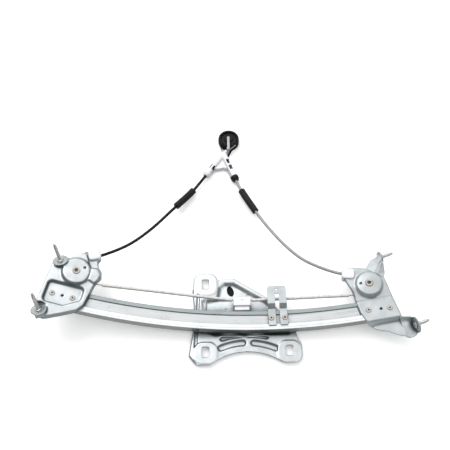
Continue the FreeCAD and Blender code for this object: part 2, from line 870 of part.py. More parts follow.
def right_bracket():
    body = new_body("right_bracket_pressing", right_frame)
    thick, rim, drop = size["bracket_sheet"], size["tray_height"], -size["flange_drop"]
    side = size["rail_width"] / 2 + 0.4
    sketch = sketch_on(body, "YZ_Plane", "fold")
    outline(sketch, [
        (90, rim), (21, rim), (16, thick), (-side - 2, thick), (-side - 4.5, drop + thick),
        (-70, drop + thick), (-70, drop), (-side - 2.8, drop), (-side, 0),
        (17, 0), (22, rim - thick), (90, rim - thick),
    ])
    pad(body, "fold", sketch, 140, Midplane=True)
    sketch = sketch_on(body, "XY_Plane", "trim")
    outline(sketch, [(-90, -90), (90, -90), (90, 110), (-90, 110)])
    place = (right_centre, size["right_cable_angle"], -1, size["right_socket_run"])
    outline(sketch, [
        beside_socket(*place, 9.5), beside_socket(*place, -9.5), (-34, 44),
        (-31, 22), (-28, 2), (-21, -18), (-6, -31), (27, -42), (37, -21), (28, 14),
        (22, 44), (14, 59), (0, 68),
    ])
    trim = pocket(body, "trim", sketch, 60, Midplane=True)
    round_edges(body, "corners", trim, size["tray_corner"],
                lambda edge: upright(edge) and clear_of_folds(edge))
    sketch = sketch_on(body, "XY_Plane", "dome_rim", rim - thick)
    circle(sketch, *right_centre, size["dome_radius"])
    dome = pad(body, "dome", sketch, size["dome_height"] - rim + thick,
               TaperAngle=-size["dome_taper"])
    round_edges(body, "dome_round", dome, size["dome_round"],
                lambda edge: all_above(edge, size["dome_height"] - 0.1))
    ears = ear("upper_ear", right_frame,
               [(1, 64, rim), (22, 44, rim), (22, 44, rim - thick), (1, 64, rim - thick)],
               upper_right_pad, size["upper_pad_radius"],
               [(8, -6, 0), (-8, -6, 0), (-8, -6, -thick), (8, -6, -thick)])
    inset = 0.1 * thick
    flange_top = drop + thick - inset
    ears += ear("lower_ear", right_frame,
                [(23, -41, flange_top), (33, -24, flange_top),
                 (33, -24, drop + inset), (23, -41, drop + inset)],
                lower_right_pad, size["lower_pad_radius"],
                [(10, -6, 0), (-10, -6, 0), (-10, -6, -thick), (10, -6, -thick)])
    tab = block("right_socket_tab", thick, 19, rim + 4, at_socket(right_frame, place, -4, thick / 2))
    folded = join("right_bracket_sheet", [body, tab] + ears)
    x, y = right_centre
    axle_hole = size["axle_radius"] + size["axle_fit"]
    inside = size["pulley_radius"] + size["dome_gap"]
    tools = rivet_hole_tools("right_bracket_rivets", "right")
    tools += [
        hole_tool("right_axle_hole", within(right_frame, x, y), axle_hole, 0, rim * 2),
        hole_tool("right_small_hole", within(right_frame, x - 13, y + 2), 2.2, rim, rim * 2),
        hole_tool("right_centre_hole", within(right_frame, 6.5, -2), 2.2, -1, rim),
        hole_tool("right_dome_space", within(right_frame, x, y), inside, -1,
                  size["dome_height"] - thick),
        *stud_clearance("right_upper", upper_right_pad),
        *stud_clearance("right_lower", lower_right_pad),
        sub_parts["guide_rail"],
        spigot_slot("right_socket_slot", right_frame, place),
    ]
    bracket = cut("right_bracket", folded, tools)
    bracket.Label = "right_bracket"
    sub_parts["right_bracket"] = bracket


right_bracket()


# Middle bracket: a joggled strap with a long slot, riveted to the web

def mid_bracket():
    body = new_body("mid_bracket_strap", mid_frame)
    thick, rise = size["mid_sheet"], size["mid_rise"]
    foot, joggle, top = size["mid_foot"], size["mid_joggle"], size["mid_top"]
    sketch = sketch_on(body, "YZ_Plane", "fold")
    outline(sketch, [
        (foot, 0), (joggle, 0), (joggle + 6, rise), (top, rise), (top, rise + thick),
        (joggle + 5, rise + thick), (joggle - 1, thick), (foot, thick),
    ])
    strap = pad(body, "strap", sketch, size["mid_width"], Midplane=True)
    round_edges(body, "corners", strap, 5,
                lambda edge: upright(edge) and edge.CenterOfMass.y > top - 1)
    sketch = sketch_on(body, "XY_Plane", "slot")
    slot_low = foot - 1
    width = size["mid_slot_width"]
    box_outline(sketch, 0, (size["mid_slot_top"] + slot_low) / 2, width,
                size["mid_slot_top"] - slot_low)
    circle(sketch, 0, top - 6, 1.8)
    pocket(body, "slot", sketch, 60, Midplane=True)
    bracket = cut("mid_bracket", body, rivet_hole_tools("mid_bracket_rivets", "mid"))
    bracket.Label = "mid_bracket"
    sub_parts["mid_bracket"] = bracket


mid_bracket()


# Carrier: a pressed plate behind the rail, with raised ears for the glass

CARRIER_ARC = (-19, -138)
GLASS_EARS = {"upper": (-84, 71), "left": (-84, -45), "right": (47, -44)}


def carrier_plate():
    body = new_body("carrier_pressing", ground)
    top, pan, thick = size["carrier_top"], size["carrier_pan"], size["carrier_sheet"]
    sketch = sketch_on(body, "XY_Plane", "rim", top)
    outline(sketch, [
        (-103, 74), (-100, 91), (-68, 91), (-64, 76), (-55, 80), (-36, 79), (-8, 60), (18, 44),
        (40, 20), (60, -16), (67, -48), (63, -62), (38, -63), (-72, -65), (-102, -66),
        (-112, -44), (-102, -10), (-101, 28), (-105, 54),
    ])
    plate = pad(body, "plate", sketch, pan + thick, Reversed=True)
    round_edges(body, "corners", plate, size["tray_corner"], upright)
    sketch = sketch_on(body, "XY_Plane", "lower_arc", top)
    circle(sketch, *CARRIER_ARC, size["carrier_arc"])
    pocket(body, "lower_arc", sketch, pan + thick)
    sketch = sketch_on(body, "XY_Plane", "pan", top)
    outline(sketch, [
        (-64, 50), (-61, 68), (-53, 75), (-37, 74), (-10, 56), (13, 41), (36, 18), (54, -13),
        (51, -20), (-70, -20), (-95, -8), (-95, 28), (-97, 46),
    ])
    pocket(body, "pan", sketch, pan)
    sketch = sketch_on(body, "XY_Plane", "ear_back", top - pan - thick)
    circle(sketch, *GLASS_EARS["upper"], size["ear_radius"] - 5)
    pocket(body, "ear_back", sketch, pan, Reversed=True)
    sketch = sketch_on(body, "XY_Plane", "lower_back", top - pan - thick)
    outline(sketch, [
        (-76, -23), (-99, -18), (-108, -44), (-100, -62), (-74, -62), (-66, -56), (-66, -24),
    ])
    outline(sketch, [
        (60, -59), (63, -48), (54, -23), (33, -24), (30, -40), (30, -55), (37, -59),
    ])
    pocket(body, "lower_back", sketch, pan, Reversed=True)
    sketch = sketch_on(body, "XY_Plane", "grooves", top)
    outline(sketch, [(-62, -37), (-60, -27), (-42, -24), (-25, -27), (-20.5, -35), (-26, -41)])
    outline(sketch, [(-13, -30), (-10, -26), (9, -29), (25, -35), (28, -45), (20, -49)])
    grooves = pocket(body, "grooves", sketch, size["carrier_groove"])
    round_edges(body, "groove_corners", grooves, 2,
                lambda edge: upright(edge) and in_groove(edge))
    sketch = sketch_on(body, "XY_Plane", "glass_holes", top)
    for across, up in GLASS_EARS.values():
        box_outline(sketch, across, up, size["glass_hole_width"], size["glass_hole_height"])
    plate = pocket(body, "glass_holes", sketch, pan + thick)
    round_edges(body, "glass_hole_corners", plate, size["glass_hole_round"],
                lambda edge: upright(edge) and near_glass_hole(edge))
    sketch = sketch_on(body, "XY_Plane", "access_holes", top)
    circle(sketch, -43.5, 60, 7.2)
    circle(sketch, -15.5, 52, 2)
    circle(sketch, -50.5, 28, 2)
    pocket(body, "access_holes", sketch, pan + thick)
    sub_parts["carrier_plate"] = body
    body.Label = "carrier_plate"


def in_groove(edge):
    middle = edge.CenterOfMass
    return -63 < middle.x < 28 and -50 < middle.y < -23 and middle.z > size["carrier_top"] - 4


def near_glass_hole(edge):
    middle = edge.CenterOfMass
    reach = size["glass_hole_height"] * 0.75
    return any(math.hypot(middle.x - x, middle.y - y) < reach for x, y in GLASS_EARS.values())


carrier_plate()


def slider(label, arc):
    """A moulded shoe: its head runs inside the channel, its stem stands on the carrier."""
    gap, side = size["slider_gap"], size["rail_width"] / 2
    thick, depth = size["rail_sheet"], -size["rail_depth"]
    head = side - thick - gap
    stem = side - size["rail_lip"] - gap
    under = depth + thick + gap
    body = new_body(f"{label}_shoe", station(arc))
    sketch = sketch_on(body, "YZ_Plane", "profile")
    outline(sketch, [
        (-head, under + size["slider_head"]), (-head, under), (-stem, under), (-stem, -30),
        (stem, -30), (stem, under), (head, under), (head, under + size["slider_head"]),
    ])
    pad(body, "shoe", sketch, size["slider_width"], Midplane=True)
    floor = size["carrier_top"] - size["carrier_pan"]
    below = block(f"{label}_floor", 300, 300, 60, within(ground, 0, 0, floor - 60))
    shoe = cut(label, body, [below])
    shoe.Label = label
    sub_parts[label] = shoe


slider("left_slider", size["left_slider"])
slider("right_slider", size["right_slider"])


def cable_end_block():
    """A moulded block on the carrier that holds the cables' end nipples."""
    body = new_body("cable_end_block_body", ground)
    floor = size["carrier_top"] - size["carrier_pan"]
    sketch = sketch_on(body, "XY_Plane", "foot", floor)
    box_outline(sketch, size["block_x"], size["block_y"], size["block_length"], size["block_width"])
    base = pad(body, "foot", sketch, size["block_top"] - floor)
    round_edges(body, "corners", base, 2.5, upright)
    along = Vector(1, 0, 0)
    level = size["cable_level"]
    passage = size["cable_radius"] + 3 * size["running_gap"]
    chamber = size["nipple_radius"] + size["axle_fit"]
    tools = [
        block("block_passage", size["block_length"] + 2, 2 * passage, 20,
              within(ground, size["block_x"], size["block_y"], level - passage)),
        block("block_chamber", size["nipple_length"] * 2 + 0.4, 2 * chamber, 20,
              within(ground, size["block_x"], size["block_y"], level - chamber)),
    ]
    end_block = cut("cable_end_block", body, tools)
    end_block.Label = "cable_end_block"
    sub_parts["cable_end_block"] = end_block
    nipples = []
    for name, side in (("left", -1), ("right", 1)):
        start = Vector(size["block_x"] + side * size["nipple_length"] / 2, size["block_y"], level)
        shift = -size["nipple_length"] / 2
        frame = within(ground, start.x + shift, start.y, start.z, along)
        nipples.append(cylinder(f"{name}_nipple", size["nipple_radius"],
                                size["nipple_length"] - 0.3, frame))
    group("cable_nipples", nipples)


cable_end_block()


# Drum: a grooved wheel with a notched rim, a splined bore and a hub

keeper_frame = within(ground, size["drum_x"], size["drum_y"], carrier_under)
drum_seat = size["keeper_sheet"] + size["running_gap"]
drum_frame = within(keeper_frame, 0, 0, drum_seat)


def groove_level(number):
    """The height of a groove's middle above the drum's seat."""
    middle = (size["drum_grooves"] - 1) / 2
    return size["drum_height"] / 2 + (number - middle) * size["drum_groove_pitch"]


winding_radius = size["drum_radius"] - size["drum_groove"] / 2 + 0.4


def drum():
    body = new_body("drum", drum_frame)
    wide, high, groove = size["drum_radius"], size["drum_height"], size["drum_groove"]
    hub, bore = size["drum_hub_radius"], size["drum_bore"]
    profile = [(bore, 0), (wide, 0)]
    for number in range(int(size["drum_grooves"])):
        level = groove_level(number)
        profile += [(wide, level - 1.1), (wide - groove, level - 0.7),
                    (wide - groove, level + 0.7), (wide, level + 1.1)]
    profile += [(wide, high - 1), (wide - 1, high), (wide - 4, high), (wide - 5, high - 3),
                (hub + 1, high - 3), (hub, high - 1), (bore, high - 1)]
    sketch = sketch_on(body, "XZ_Plane", "profile")
    outline(sketch, profile)
    turn = feature(body, "Revolution", "turn", sketch, Angle=360,
                   ReferenceAxis=(sketch, ["V_Axis"]))
    sketch = sketch_on(body, "XY_Plane", "notch", high)
    box_outline(sketch, wide - 2.4, 0, 2, 3.2)
    notch = pocket(body, "notch", sketch, 2)
    rows = body.newObject("PartDesign::PolarPattern", "drum_notch_row")
    rows.Originals = [notch]
    rows.Axis = (sketch, ["N_Axis"])
    rows.Angle = 360
    bind(rows, "Occurrences", size["drum_notches"])
    body.Tip = rows
    document.recompute()
    sub_parts["drum"] = body


drum()


def windings():
    """The turns of cable that stay on the drum's middle grooves."""
    turns = []
    for number in range(1, int(size["drum_grooves"]) - 1):
        thick = size["cable_radius"]
        section = [(winding_radius + thick * cosine(angle), thick * sine(angle))
                   for angle in range(0, 360, 60)]
        turns.append(turned(f"drum_turn_{number}", section,
                            within(drum_frame, 0, 0, groove_level(number)), count_as_part=False))
    group("drum_windings", turns)


windings()


def drum_keeper():
    """A flat paddle under the drum, with the pin that it turns on."""
    body = new_body("drum_keeper", keeper_frame)
    sheet_thick = size["keeper_sheet"]
    sketch = sketch_on(body, "XY_Plane", "disc")
    circle(sketch, 0, 0, size["drum_radius"] + size["running_gap"])
    pad(body, "disc", sketch, sheet_thick)
    sketch = sketch_on(body, "XY_Plane", "tongue")
    outline(sketch, [(-18.8, 2), (-9.1, -18.1), (-9, -35), (-2, -35), (5.3, -20.3), (17.4, -5.4)])
    pad(body, "tongue", sketch, sheet_thick)
    sketch = sketch_on(body, "XY_Plane", "pin")
    circle(sketch, 0, 0, size["drum_bore"] - size["axle_fit"])
    pad(body, "pin", sketch, drum_seat + size["drum_height"] - size["running_gap"])
    sub_parts["drum_keeper"] = body


drum_keeper()


# Cable guide: a moulded Y with one arm for each conduit

def arm_frame(start, end):
    along = end - start
    return Placement(start, Rotation(FRONT, along)), along.Length


guide_level = carrier_under + size["collar_radius"] + size["running_gap"]
guide_fork = ground.multVec(Vector(size["guide_x"], size["guide_y"], guide_level))
left_arm_end = ground.multVec(Vector(-78.6, 292, guide_level))
right_arm_end = ground.multVec(Vector(-32.5, 282, guide_level))


def arm(side_name, end):
    """A tubular arm with a window over its spring, open towards the conduit."""
    frame, length = arm_frame(guide_fork, end)
    outer, inner = size["guide_arm_radius"], size["spring_radius"] + size["running_gap"]
    window_length = length * 0.5
    tube = cylinder(f"{side_name}_arm_tube", outer, length, frame)
    bore = cylinder(f"{side_name}_arm_bore", inner, length, within(frame, 0, 0, 8))
    window = block(f"{side_name}_arm_window", inner * 2.4, inner * 1.1, window_length,
                   within(frame, 0, 0, length * 0.3))
    return tube, [bore, window], frame, length


def guide_web():
    """The flat middle of the guide, on the keeper's tongue, with the strap over the drum."""
    body = new_body("drum_guide_web", ground)
    x, y = size["guide_x"], size["guide_y"]
    low = carrier_under + size["keeper_sheet"]
    high = guide_level + size["guide_arm_radius"] - 1.5
    sketch = sketch_on(body, "XY_Plane", "plan", low)
    outline(sketch, [
        (x - 7, y + 6), (x - 11, y - 8), (x - 21, y - 20), (x - 12, y - 26), (x - 1, y - 22),
        (x + 9, y - 29), (x + 17, y - 24), (x + 14, y - 8), (x + 9, y + 6),
    ])
    web = pad(body, "web", sketch, high - low)
    round_edges(body, "corners", web, 3, upright)
    wide, over = size["strap_width"], size["strap_sheet"]
    start = drum_frame.Base.z - ground.Base.z + size["drum_height"] + size["running_gap"]
    near = size["drum_y"] - size["drum_radius"] - 2
    sketch = sketch_on(body, "YZ_Plane", "strap", size["drum_x"] - 0.5)
    outline(sketch, [
        (y - 8, high - 1), (near, high - 1), (near, start), (size["drum_y"] + 3, start),
        (size["drum_y"] + 3, start + over), (y - 8, start + over),
    ])
    pad(body, "strap", sketch, wide, Midplane=True)
    return body


def lead(side_name, arm_place, side, groove_number):
    """A cable from the mouth of an arm's spring to the drum, and its channel in the guide."""
    offset = 1.5 * side
    start = arm_place.multVec(Vector(0, 0, 8)) + FRONT * offset
    hub = drum_frame.multVec(Vector(0, 0, groove_level(groove_number)))
    reach = winding_radius + 2 * size["running_gap"]
    gap = Vector(start.x - hub.x, start.y - hub.y, 0)
    swing = math.degrees(math.acos(reach / gap.Length))
    outward = Rotation(FRONT, side * swing).multVec(gap.normalize())
    end = hub + outward * reach
    straight_cable(f"{side_name}_cable_lead", start, end)
    return rod(f"{side_name}_lead_channel", start, end, size["cable_radius"] + size["running_gap"])


def drum_guide():
    left_tube, left_tools, left_arm, left_length = arm("left", left_arm_end)
    right_tube, right_tools, right_arm, right_length = arm("right", right_arm_end)
    leads = [lead("left", left_arm, 1, int(size["drum_grooves"]) - 1),
             lead("right", right_arm, -1, 0)]
    core = join("drum_guide_core", [left_tube, right_tube, guide_web()])
    keeper_top = within(ground, size["guide_x"], size["guide_y"],
                        carrier_under + size["keeper_sheet"] - 20)
    below = block("guide_foot_level", 40, 20, 20, keeper_top)
    guide = cut("drum_guide", core, left_tools + right_tools + leads + [below])
    guide.Label = "drum_guide"
    sub_parts["drum_guide"] = guide
    for side_name, frame, length in (("left", left_arm, left_length),
                                     ("right", right_arm, right_length)):
        spring(f"{side_name}_spring", frame, 8, length - 8)
        fitting = "left_guide_collar" if side_name == "left" else "right_guide_cap"
        guide_end(fitting, within(frame, 0, 0, length))


def spring(label, frame, low, high):
    """A tension spring, drawn as close coils."""
    outer, coil = size["spring_radius"], size["spring_pitch"]
    inner = outer - 1.4
    count = int((high - low) / coil)
    step = (high - low) / count
    profile = [(inner, high), (inner, low)]
    for index in range(count):
        start = low + index * step
        profile += [(outer - 0.7, start), (outer, start + step / 2)]
    profile += [(outer - 0.7, high)]
    turned(label, profile, frame)


def guide_end(label, frame):
    """The ring that closes an arm and seats the conduit."""
    outer, length = size["collar_radius"], size["collar_length"]
    bore = size["conduit_radius"]
    turned(label, [
        (bore, 0), (outer, 0), (outer, length * 0.6), (outer - 2, length), (bore, length),
    ], frame)


drum_guide()


# Conduits: hand-chosen points from the guide to each socket, in the rail's own frame

LEFT_ROUTE = [
    (-107, 250, -14.5), (-139.5, 212, -8), (-166, 177, -1), (-191, 148.5, 7), (-214, 127, 15),
]
RIGHT_ROUTE = [
    (-16, 243, -15.5), (6, 199, -10), (30, 158.5, -4), (55, 124, 1), (81, 98, 4.5),
]


def tube_along(points, tube_radius):
    """A round tube along straight runs joined by tangent arcs, as large as the runs allow."""
    pieces = []
    reached = points[0]
    radii = []
    for before, corner, after in zip(points, points[1:], points[2:]):
        back, on = before - corner, after - corner
        half_turn = (math.pi - back.getAngle(on)) / 2
        trim = 0.45 * min(back.Length, on.Length)
        radii.append(trim / math.tan(half_turn))
        back.normalize()
        on.normalize()
        enter, leave = corner + back * trim, corner + on * trim
        depth = radii[-1] * (1 / math.cos(half_turn) - 1)
        middle = corner + (back + on).normalize() * depth
        pieces += [Part.LineSegment(reached, enter).toShape(),
                   Part.Arc(enter, middle, leave).toShape()]
        reached = leave
    pieces.append(Part.LineSegment(reached, points[-1]).toShape())
    path = Part.Wire(pieces)
    section = Part.Wire([Part.makeCircle(tube_radius, points[0], points[1] - points[0])])
    tube = path.makePipeShell([section], True, True)
    expected = math.pi * tube_radius ** 2 * path.Length
    print(f"tube radii {[round(value) for value in radii]}, length {path.Length:.1f},",
          f"volume ratio {tube.Volume / expected:.4f}")
    return tube


def conduit(side_name, guide_end_frame, route, socket_place):
    """A conduit from the guide's arm to the shoulder inside its socket."""
    depth = size["socket_length"] - size["conduit_seat"]
    lead_length = size["conduit_lead"]
    points = [guide_end_frame.Base, guide_end_frame.multVec(FRONT * lead_length)]
    points += [ground.multVec(Vector(*point)) for point in route]
    points += [socket_place.multVec(FRONT * (depth + lead_length)),
               socket_place.multVec(FRONT * depth)]
    item = shape_feature(f"{side_name}_conduit", tube_along(points, float(size["conduit_radius"])))
    item.Label = f"{side_name}_conduit"
    sub_parts[item.Label] = item
    middle = (points[2] + points[3]) * 0.5
    along = points[3] - points[2]
    frame = Placement(middle - along.normalize() * (size["sleeve_length"] / 2), Rotation(FRONT, along))
    sleeve(f"{side_name}_sleeve", frame)


def sleeve(label, frame):
    """A soft sleeve that keeps the conduit from rattling."""
    outer, length = size["sleeve_radius"], size["sleeve_length"]
    bore = size["conduit_radius"] + 2 * size["running_gap"]
    turned(label, [
        (bore, 0), (outer - 1, 0), (outer, 1), (outer, length - 1), (outer - 1, length),
        (bore, length),
    ], frame)


left_guide_frame, _ = arm_frame(guide_fork, left_arm_end)
right_guide_frame, _ = arm_frame(guide_fork, right_arm_end)
conduit("left", Placement(left_arm_end, left_guide_frame.Rotation), LEFT_ROUTE, left_socket)
conduit("right", Placement(right_arm_end, right_guide_frame.Rotation), RIGHT_ROUTE, right_socket)


# Check every object, then write one file for each sub-part

document.recompute()
for item in document.Objects:
    if "Invalid" in item.State or "Error" in item.State:
        raise RuntimeError(f"{item.Name} is {item.State}")
for label, item in sub_parts.items():
    if item.Shape.isNull() or not item.Shape.isValid():
        raise RuntimeError(f"{label} has no valid shape")
os.makedirs("parts", exist_ok=True)
for label, item in sub_parts.items():
    item.Shape.exportStep(f"parts/{label}.step")
print(f"{len(sub_parts)} sub-parts written")
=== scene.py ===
import json
import math

import bmesh
import bpy
import numpy as np
from mathutils import Matrix, Vector


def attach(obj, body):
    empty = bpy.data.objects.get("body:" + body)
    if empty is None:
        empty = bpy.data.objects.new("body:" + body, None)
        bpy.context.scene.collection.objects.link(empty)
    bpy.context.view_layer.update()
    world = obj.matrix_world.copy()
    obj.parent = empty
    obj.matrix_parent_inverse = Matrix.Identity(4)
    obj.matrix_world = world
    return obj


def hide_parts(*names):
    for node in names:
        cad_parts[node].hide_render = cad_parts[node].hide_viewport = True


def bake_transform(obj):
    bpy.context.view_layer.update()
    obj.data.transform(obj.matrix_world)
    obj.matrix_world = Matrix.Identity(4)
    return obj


# A cable window regulator for a vehicle door, lying on a pale floor. Lengths are in metres.

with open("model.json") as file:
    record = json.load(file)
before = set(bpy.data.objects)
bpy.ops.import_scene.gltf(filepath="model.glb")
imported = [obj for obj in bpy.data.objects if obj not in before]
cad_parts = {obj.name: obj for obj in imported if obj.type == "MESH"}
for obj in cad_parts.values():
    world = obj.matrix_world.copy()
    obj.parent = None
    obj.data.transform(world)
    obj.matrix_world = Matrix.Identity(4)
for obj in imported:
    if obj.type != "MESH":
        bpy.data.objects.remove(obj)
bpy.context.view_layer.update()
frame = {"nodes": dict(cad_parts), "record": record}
MM = 0.001
MOUNTS = {mount["name"]: mount for mount in frame["record"]["mounts"]}


# The ring that the rail is part of, and the rail's lowest point

CURVE_RADIUS = 1.06
RAIL_LOW = Vector((0.0428, -0.158, 0.0236))
LEAN = math.radians(45)
RING_AXIS = Vector((0, -math.cos(LEAN), math.sin(LEAN)))
RING_CENTRE = RAIL_LOW + Vector((0, math.sin(LEAN), math.cos(LEAN))) * CURVE_RADIUS


# The camera, at the photograph's viewing angle

CAMERA_LENS = 56
CAMERA_SENSOR = 36
CAMERA_PLACE = Vector((-0.006, -0.5762, 1.0486))
CAMERA_TILT = math.radians(30)
CAMERA_YAW = math.radians(-0.15)
CAMERA_ROLL = math.radians(1.16)


def camera():
    data = bpy.data.cameras.new("camera")
    data.lens = CAMERA_LENS
    data.sensor_width = CAMERA_SENSOR
    item = bpy.data.objects.new("camera", data)
    turn = (Matrix.Rotation(-CAMERA_YAW, 3, "Z") @ Matrix.Rotation(CAMERA_TILT, 3, "X")
            @ Matrix.Rotation(-CAMERA_ROLL, 3, "Z"))
    item.matrix_world = Matrix.Translation(CAMERA_PLACE) @ turn.to_4x4()
    bpy.context.scene.collection.objects.link(item)
    bpy.context.scene.camera = item


camera()


# Materials

# Painted shade on steep walls: the normal heights over which a wall turns into a flat, and how dark
# a plastic's walls are painted
WALL_SLOPE = (0.35, 0.93)
WALL_SHADE = 0.62
# Painted shade deep in corners: how dark a turned metal gets there, and how far each finish reaches
# for a corner
CORNER_SHADE = 0.25
CORNER_REACH = 12 * MM
RAIL_CORNER_REACH = 10 * MM
METAL_CORNER_REACH = 4 * MM

# The depth of each finish's grain, and the radius that its edges look rounded by
SHEET_RELIEF = (0.01 * MM, 0.7 * MM)
METAL_RELIEF = (0.02 * MM, 0.2 * MM)
PLASTIC_RELIEF = (0.03 * MM, 0.3 * MM)
PLASTIC_CLOUD = 220
PLASTIC_PEBBLE = 1760

# The rail's bands of painted shade and highlight, in millimetres over its profile
BEAD_EDGE = (-7.2, -6.2)
STRIP_EDGE = (9, 9.6)
BEND_LINES = (-12, 9.3)
BEND_WIDTH = 0.5
STREAKS_ALONG = 14


class Graph:
    """One material's nodes: a principled shader and what feeds it."""

    def __init__(self, name, colour, metallic, roughness, **inputs):
        self.material = bpy.data.materials.new(name)
        self.material.use_nodes = True
        self.nodes = self.material.node_tree.nodes
        self.links = self.material.node_tree.links
        self.shader = self.nodes["Principled BSDF"]
        self.shader.inputs["Base Color"].default_value = (*colour, 1)
        self.shader.inputs["Metallic"].default_value = metallic
        self.shader.inputs["Roughness"].default_value = roughness
        for key, value in inputs.items():
            self.shader.inputs[key.replace("_", " ")].default_value = value

    def add(self, kind, **settings):
        node = self.nodes.new(kind)
        for key, value in settings.items():
            setattr(node, key, value)
        return node

    def link(self, source, target):
        self.links.new(source, target)

    def coordinates(self, scale=(1, 1, 1)):
        """Object coordinates, stretched."""
        place = self.add("ShaderNodeTexCoord")
        mapping = self.add("ShaderNodeMapping")
        mapping.inputs["Scale"].default_value = scale
        self.link(place.outputs["Object"], mapping.inputs["Vector"])
        return mapping.outputs["Vector"]

    def noise(self, vector, scale, detail):
        node = self.add("ShaderNodeTexNoise")
        node.inputs["Scale"].default_value = scale
        node.inputs["Detail"].default_value = detail
        self.link(vector, node.inputs["Vector"])
        return node.outputs["Fac"]

    def spread(self, source, low, high, start=0.3, end=0.7):
        """A 0 to 1 signal turned into a range of values."""
        node = self.add("ShaderNodeMapRange")
        node.inputs["From Min"].default_value = start
        node.inputs["From Max"].default_value = end
        node.inputs["To Min"].default_value = low
        node.inputs["To Max"].default_value = high
        self.link(source, node.inputs["Value"])
        return node.outputs["Result"]

    def mix(self, factor, first, second):
        """A colour between two, by a signal."""
        node = self.add("ShaderNodeMix", data_type="RGBA")
        self.link(factor, node.inputs["Factor"])
        for socket, value in ((node.inputs[6], first), (node.inputs[7], second)):
            if isinstance(value, tuple):
                socket.default_value = (*value, 1)
            else:
                self.link(value, socket)
        return node.outputs[2]

    def paint(self, colour):
        self.link(colour, self.shader.inputs["Base Color"])

    def gloss(self, source, low, high):
        self.link(self.spread(source, low, high), self.shader.inputs["Roughness"])

    def relief(self, source, height, edge):
        """A bump, over edges rounded by a small radius."""
        bump = self.add("ShaderNodeBump")
        bump.inputs["Strength"].default_value = 1
        bump.inputs["Distance"].default_value = height
        self.link(source, bump.inputs["Height"])
        bevel = self.add("ShaderNodeBevel", samples=4)
        bevel.inputs["Radius"].default_value = edge
        self.link(bevel.outputs["Normal"], bump.inputs["Normal"])
        self.link(bump.outputs["Normal"], self.shader.inputs["Normal"])

    def walls(self):
        """A signal that is 0 on steep walls and 1 on flats, for painting shade on the walls."""
        place = self.add("ShaderNodeNewGeometry")
        parts = self.add("ShaderNodeSeparateXYZ")
        self.link(place.outputs["Normal"], parts.inputs["Vector"])
        return self.spread(parts.outputs["Z"], 0, 1, *WALL_SLOPE)

    def product(self, first, second):
        node = self.add("ShaderNodeMath", operation="MULTIPLY")
        self.link(first, node.inputs[0])
        self.link(second, node.inputs[1])
        return node.outputs[0]

    def shaded(self, colour, distance, dark, start=0.35, end=0.85):
        """A colour with painted shade that darkens it deep in a corner."""
        node = self.add("ShaderNodeAmbientOcclusion", samples=8)
        node.inputs["Distance"].default_value = distance
        return self.mix(self.spread(node.outputs["AO"], 0, 1, start, end), dark, colour)

    def vector_math(self, operation, first, second):
        """A vector operation on a signal and a constant."""
        node = self.add("ShaderNodeVectorMath", operation=operation)
        self.link(first, node.inputs[0])
        node.inputs[1].default_value = second
        return node

    def across_rail(self):
        """The height over the rail's profile, in millimetres from its middle."""
        place = self.add("ShaderNodeTexCoord")
        offset = self.vector_math("SUBTRACT", place.outputs["Object"], RING_CENTRE).outputs[0]
        along_axis = self.vector_math("DOT_PRODUCT", offset, RING_AXIS).outputs["Value"]
        crossed = self.vector_math("CROSS_PRODUCT", offset, RING_AXIS).outputs[0]
        length = self.add("ShaderNodeVectorMath", operation="LENGTH")
        self.link(crossed, length.inputs[0])
        total = self.add("ShaderNodeMath", operation="ADD")
        self.link(along_axis, total.inputs[0])
        self.link(length.outputs["Value"], total.inputs[1])
        height = self.add("ShaderNodeMapRange", clamp=False)
        height.inputs["From Min"].default_value = CURVE_RADIUS
        height.inputs["From Max"].default_value = CURVE_RADIUS - math.sqrt(2) * MM
        self.link(total.outputs[0], height.inputs["Value"])
        return height.outputs["Result"]

    def rail_vector(self, height):
        """A vector that changes slowly along the rail and fast across it."""
        place = self.add("ShaderNodeTexCoord")
        parts = self.add("ShaderNodeSeparateXYZ")
        self.link(place.outputs["Object"], parts.inputs["Vector"])
        both = self.add("ShaderNodeCombineXYZ")
        slow = self.add("ShaderNodeMath", operation="MULTIPLY")
        self.link(parts.outputs["X"], slow.inputs[0])
        slow.inputs[1].default_value = STREAKS_ALONG
        self.link(slow.outputs[0], both.inputs["X"])
        self.link(height, both.inputs["Y"])
        return both.outputs["Vector"]


def zinc_sheet():
    """Bluish zinc plate: cloudy passivation, a fine rolled grain, and painted shade on its walls
    and in its corners.
    """
    graph = Graph("zinc_plate", (0.66, 0.7, 0.72), 0.9, 0.34)
    grain = graph.noise(graph.coordinates((22, 260, 260)), 5, 3)
    cloud = graph.noise(graph.coordinates(), 60, 6)
    plate = graph.mix(graph.spread(cloud, 0, 1), (0.47, 0.505, 0.52), (0.6, 0.625, 0.635))
    # Painted shade: the plate is darker on steep walls.
    plate = graph.mix(graph.walls(), (0.17, 0.195, 0.2), plate)
    # Painted shade: the plate turns dark deep in corners.
    graph.paint(graph.shaded(plate, CORNER_REACH, (0.14, 0.165, 0.17)))
    graph.gloss(cloud, 0.28, 0.42)
    graph.relief(grain, *SHEET_RELIEF)
    return graph.material


def folded_sheet():
    """The same plate, copied for ears and bends that the light falls on from the side: painted
    shade makes its colour darker, and its walls less dark than the plate's.
    """
    graph = Graph("zinc_folds", (0.66, 0.7, 0.72), 0.5, 0.4)
    cloud = graph.noise(graph.coordinates(), 60, 6)
    # Painted shade: a darker copy of the plate's colours, for where the light grazes.
    plate = graph.mix(graph.spread(cloud, 0, 1), (0.42, 0.455, 0.465), (0.54, 0.565, 0.575))
    # Painted shade: the plate is darker on steep walls.
    plate = graph.mix(graph.walls(), (0.3, 0.33, 0.335), plate)
    # Painted shade: the plate turns dark deep in corners.
    graph.paint(graph.shaded(plate, CORNER_REACH, (0.1, 0.12, 0.125)))
    graph.gloss(cloud, 0.3, 0.44)
    graph.relief(cloud, *SHEET_RELIEF)
    return graph.material


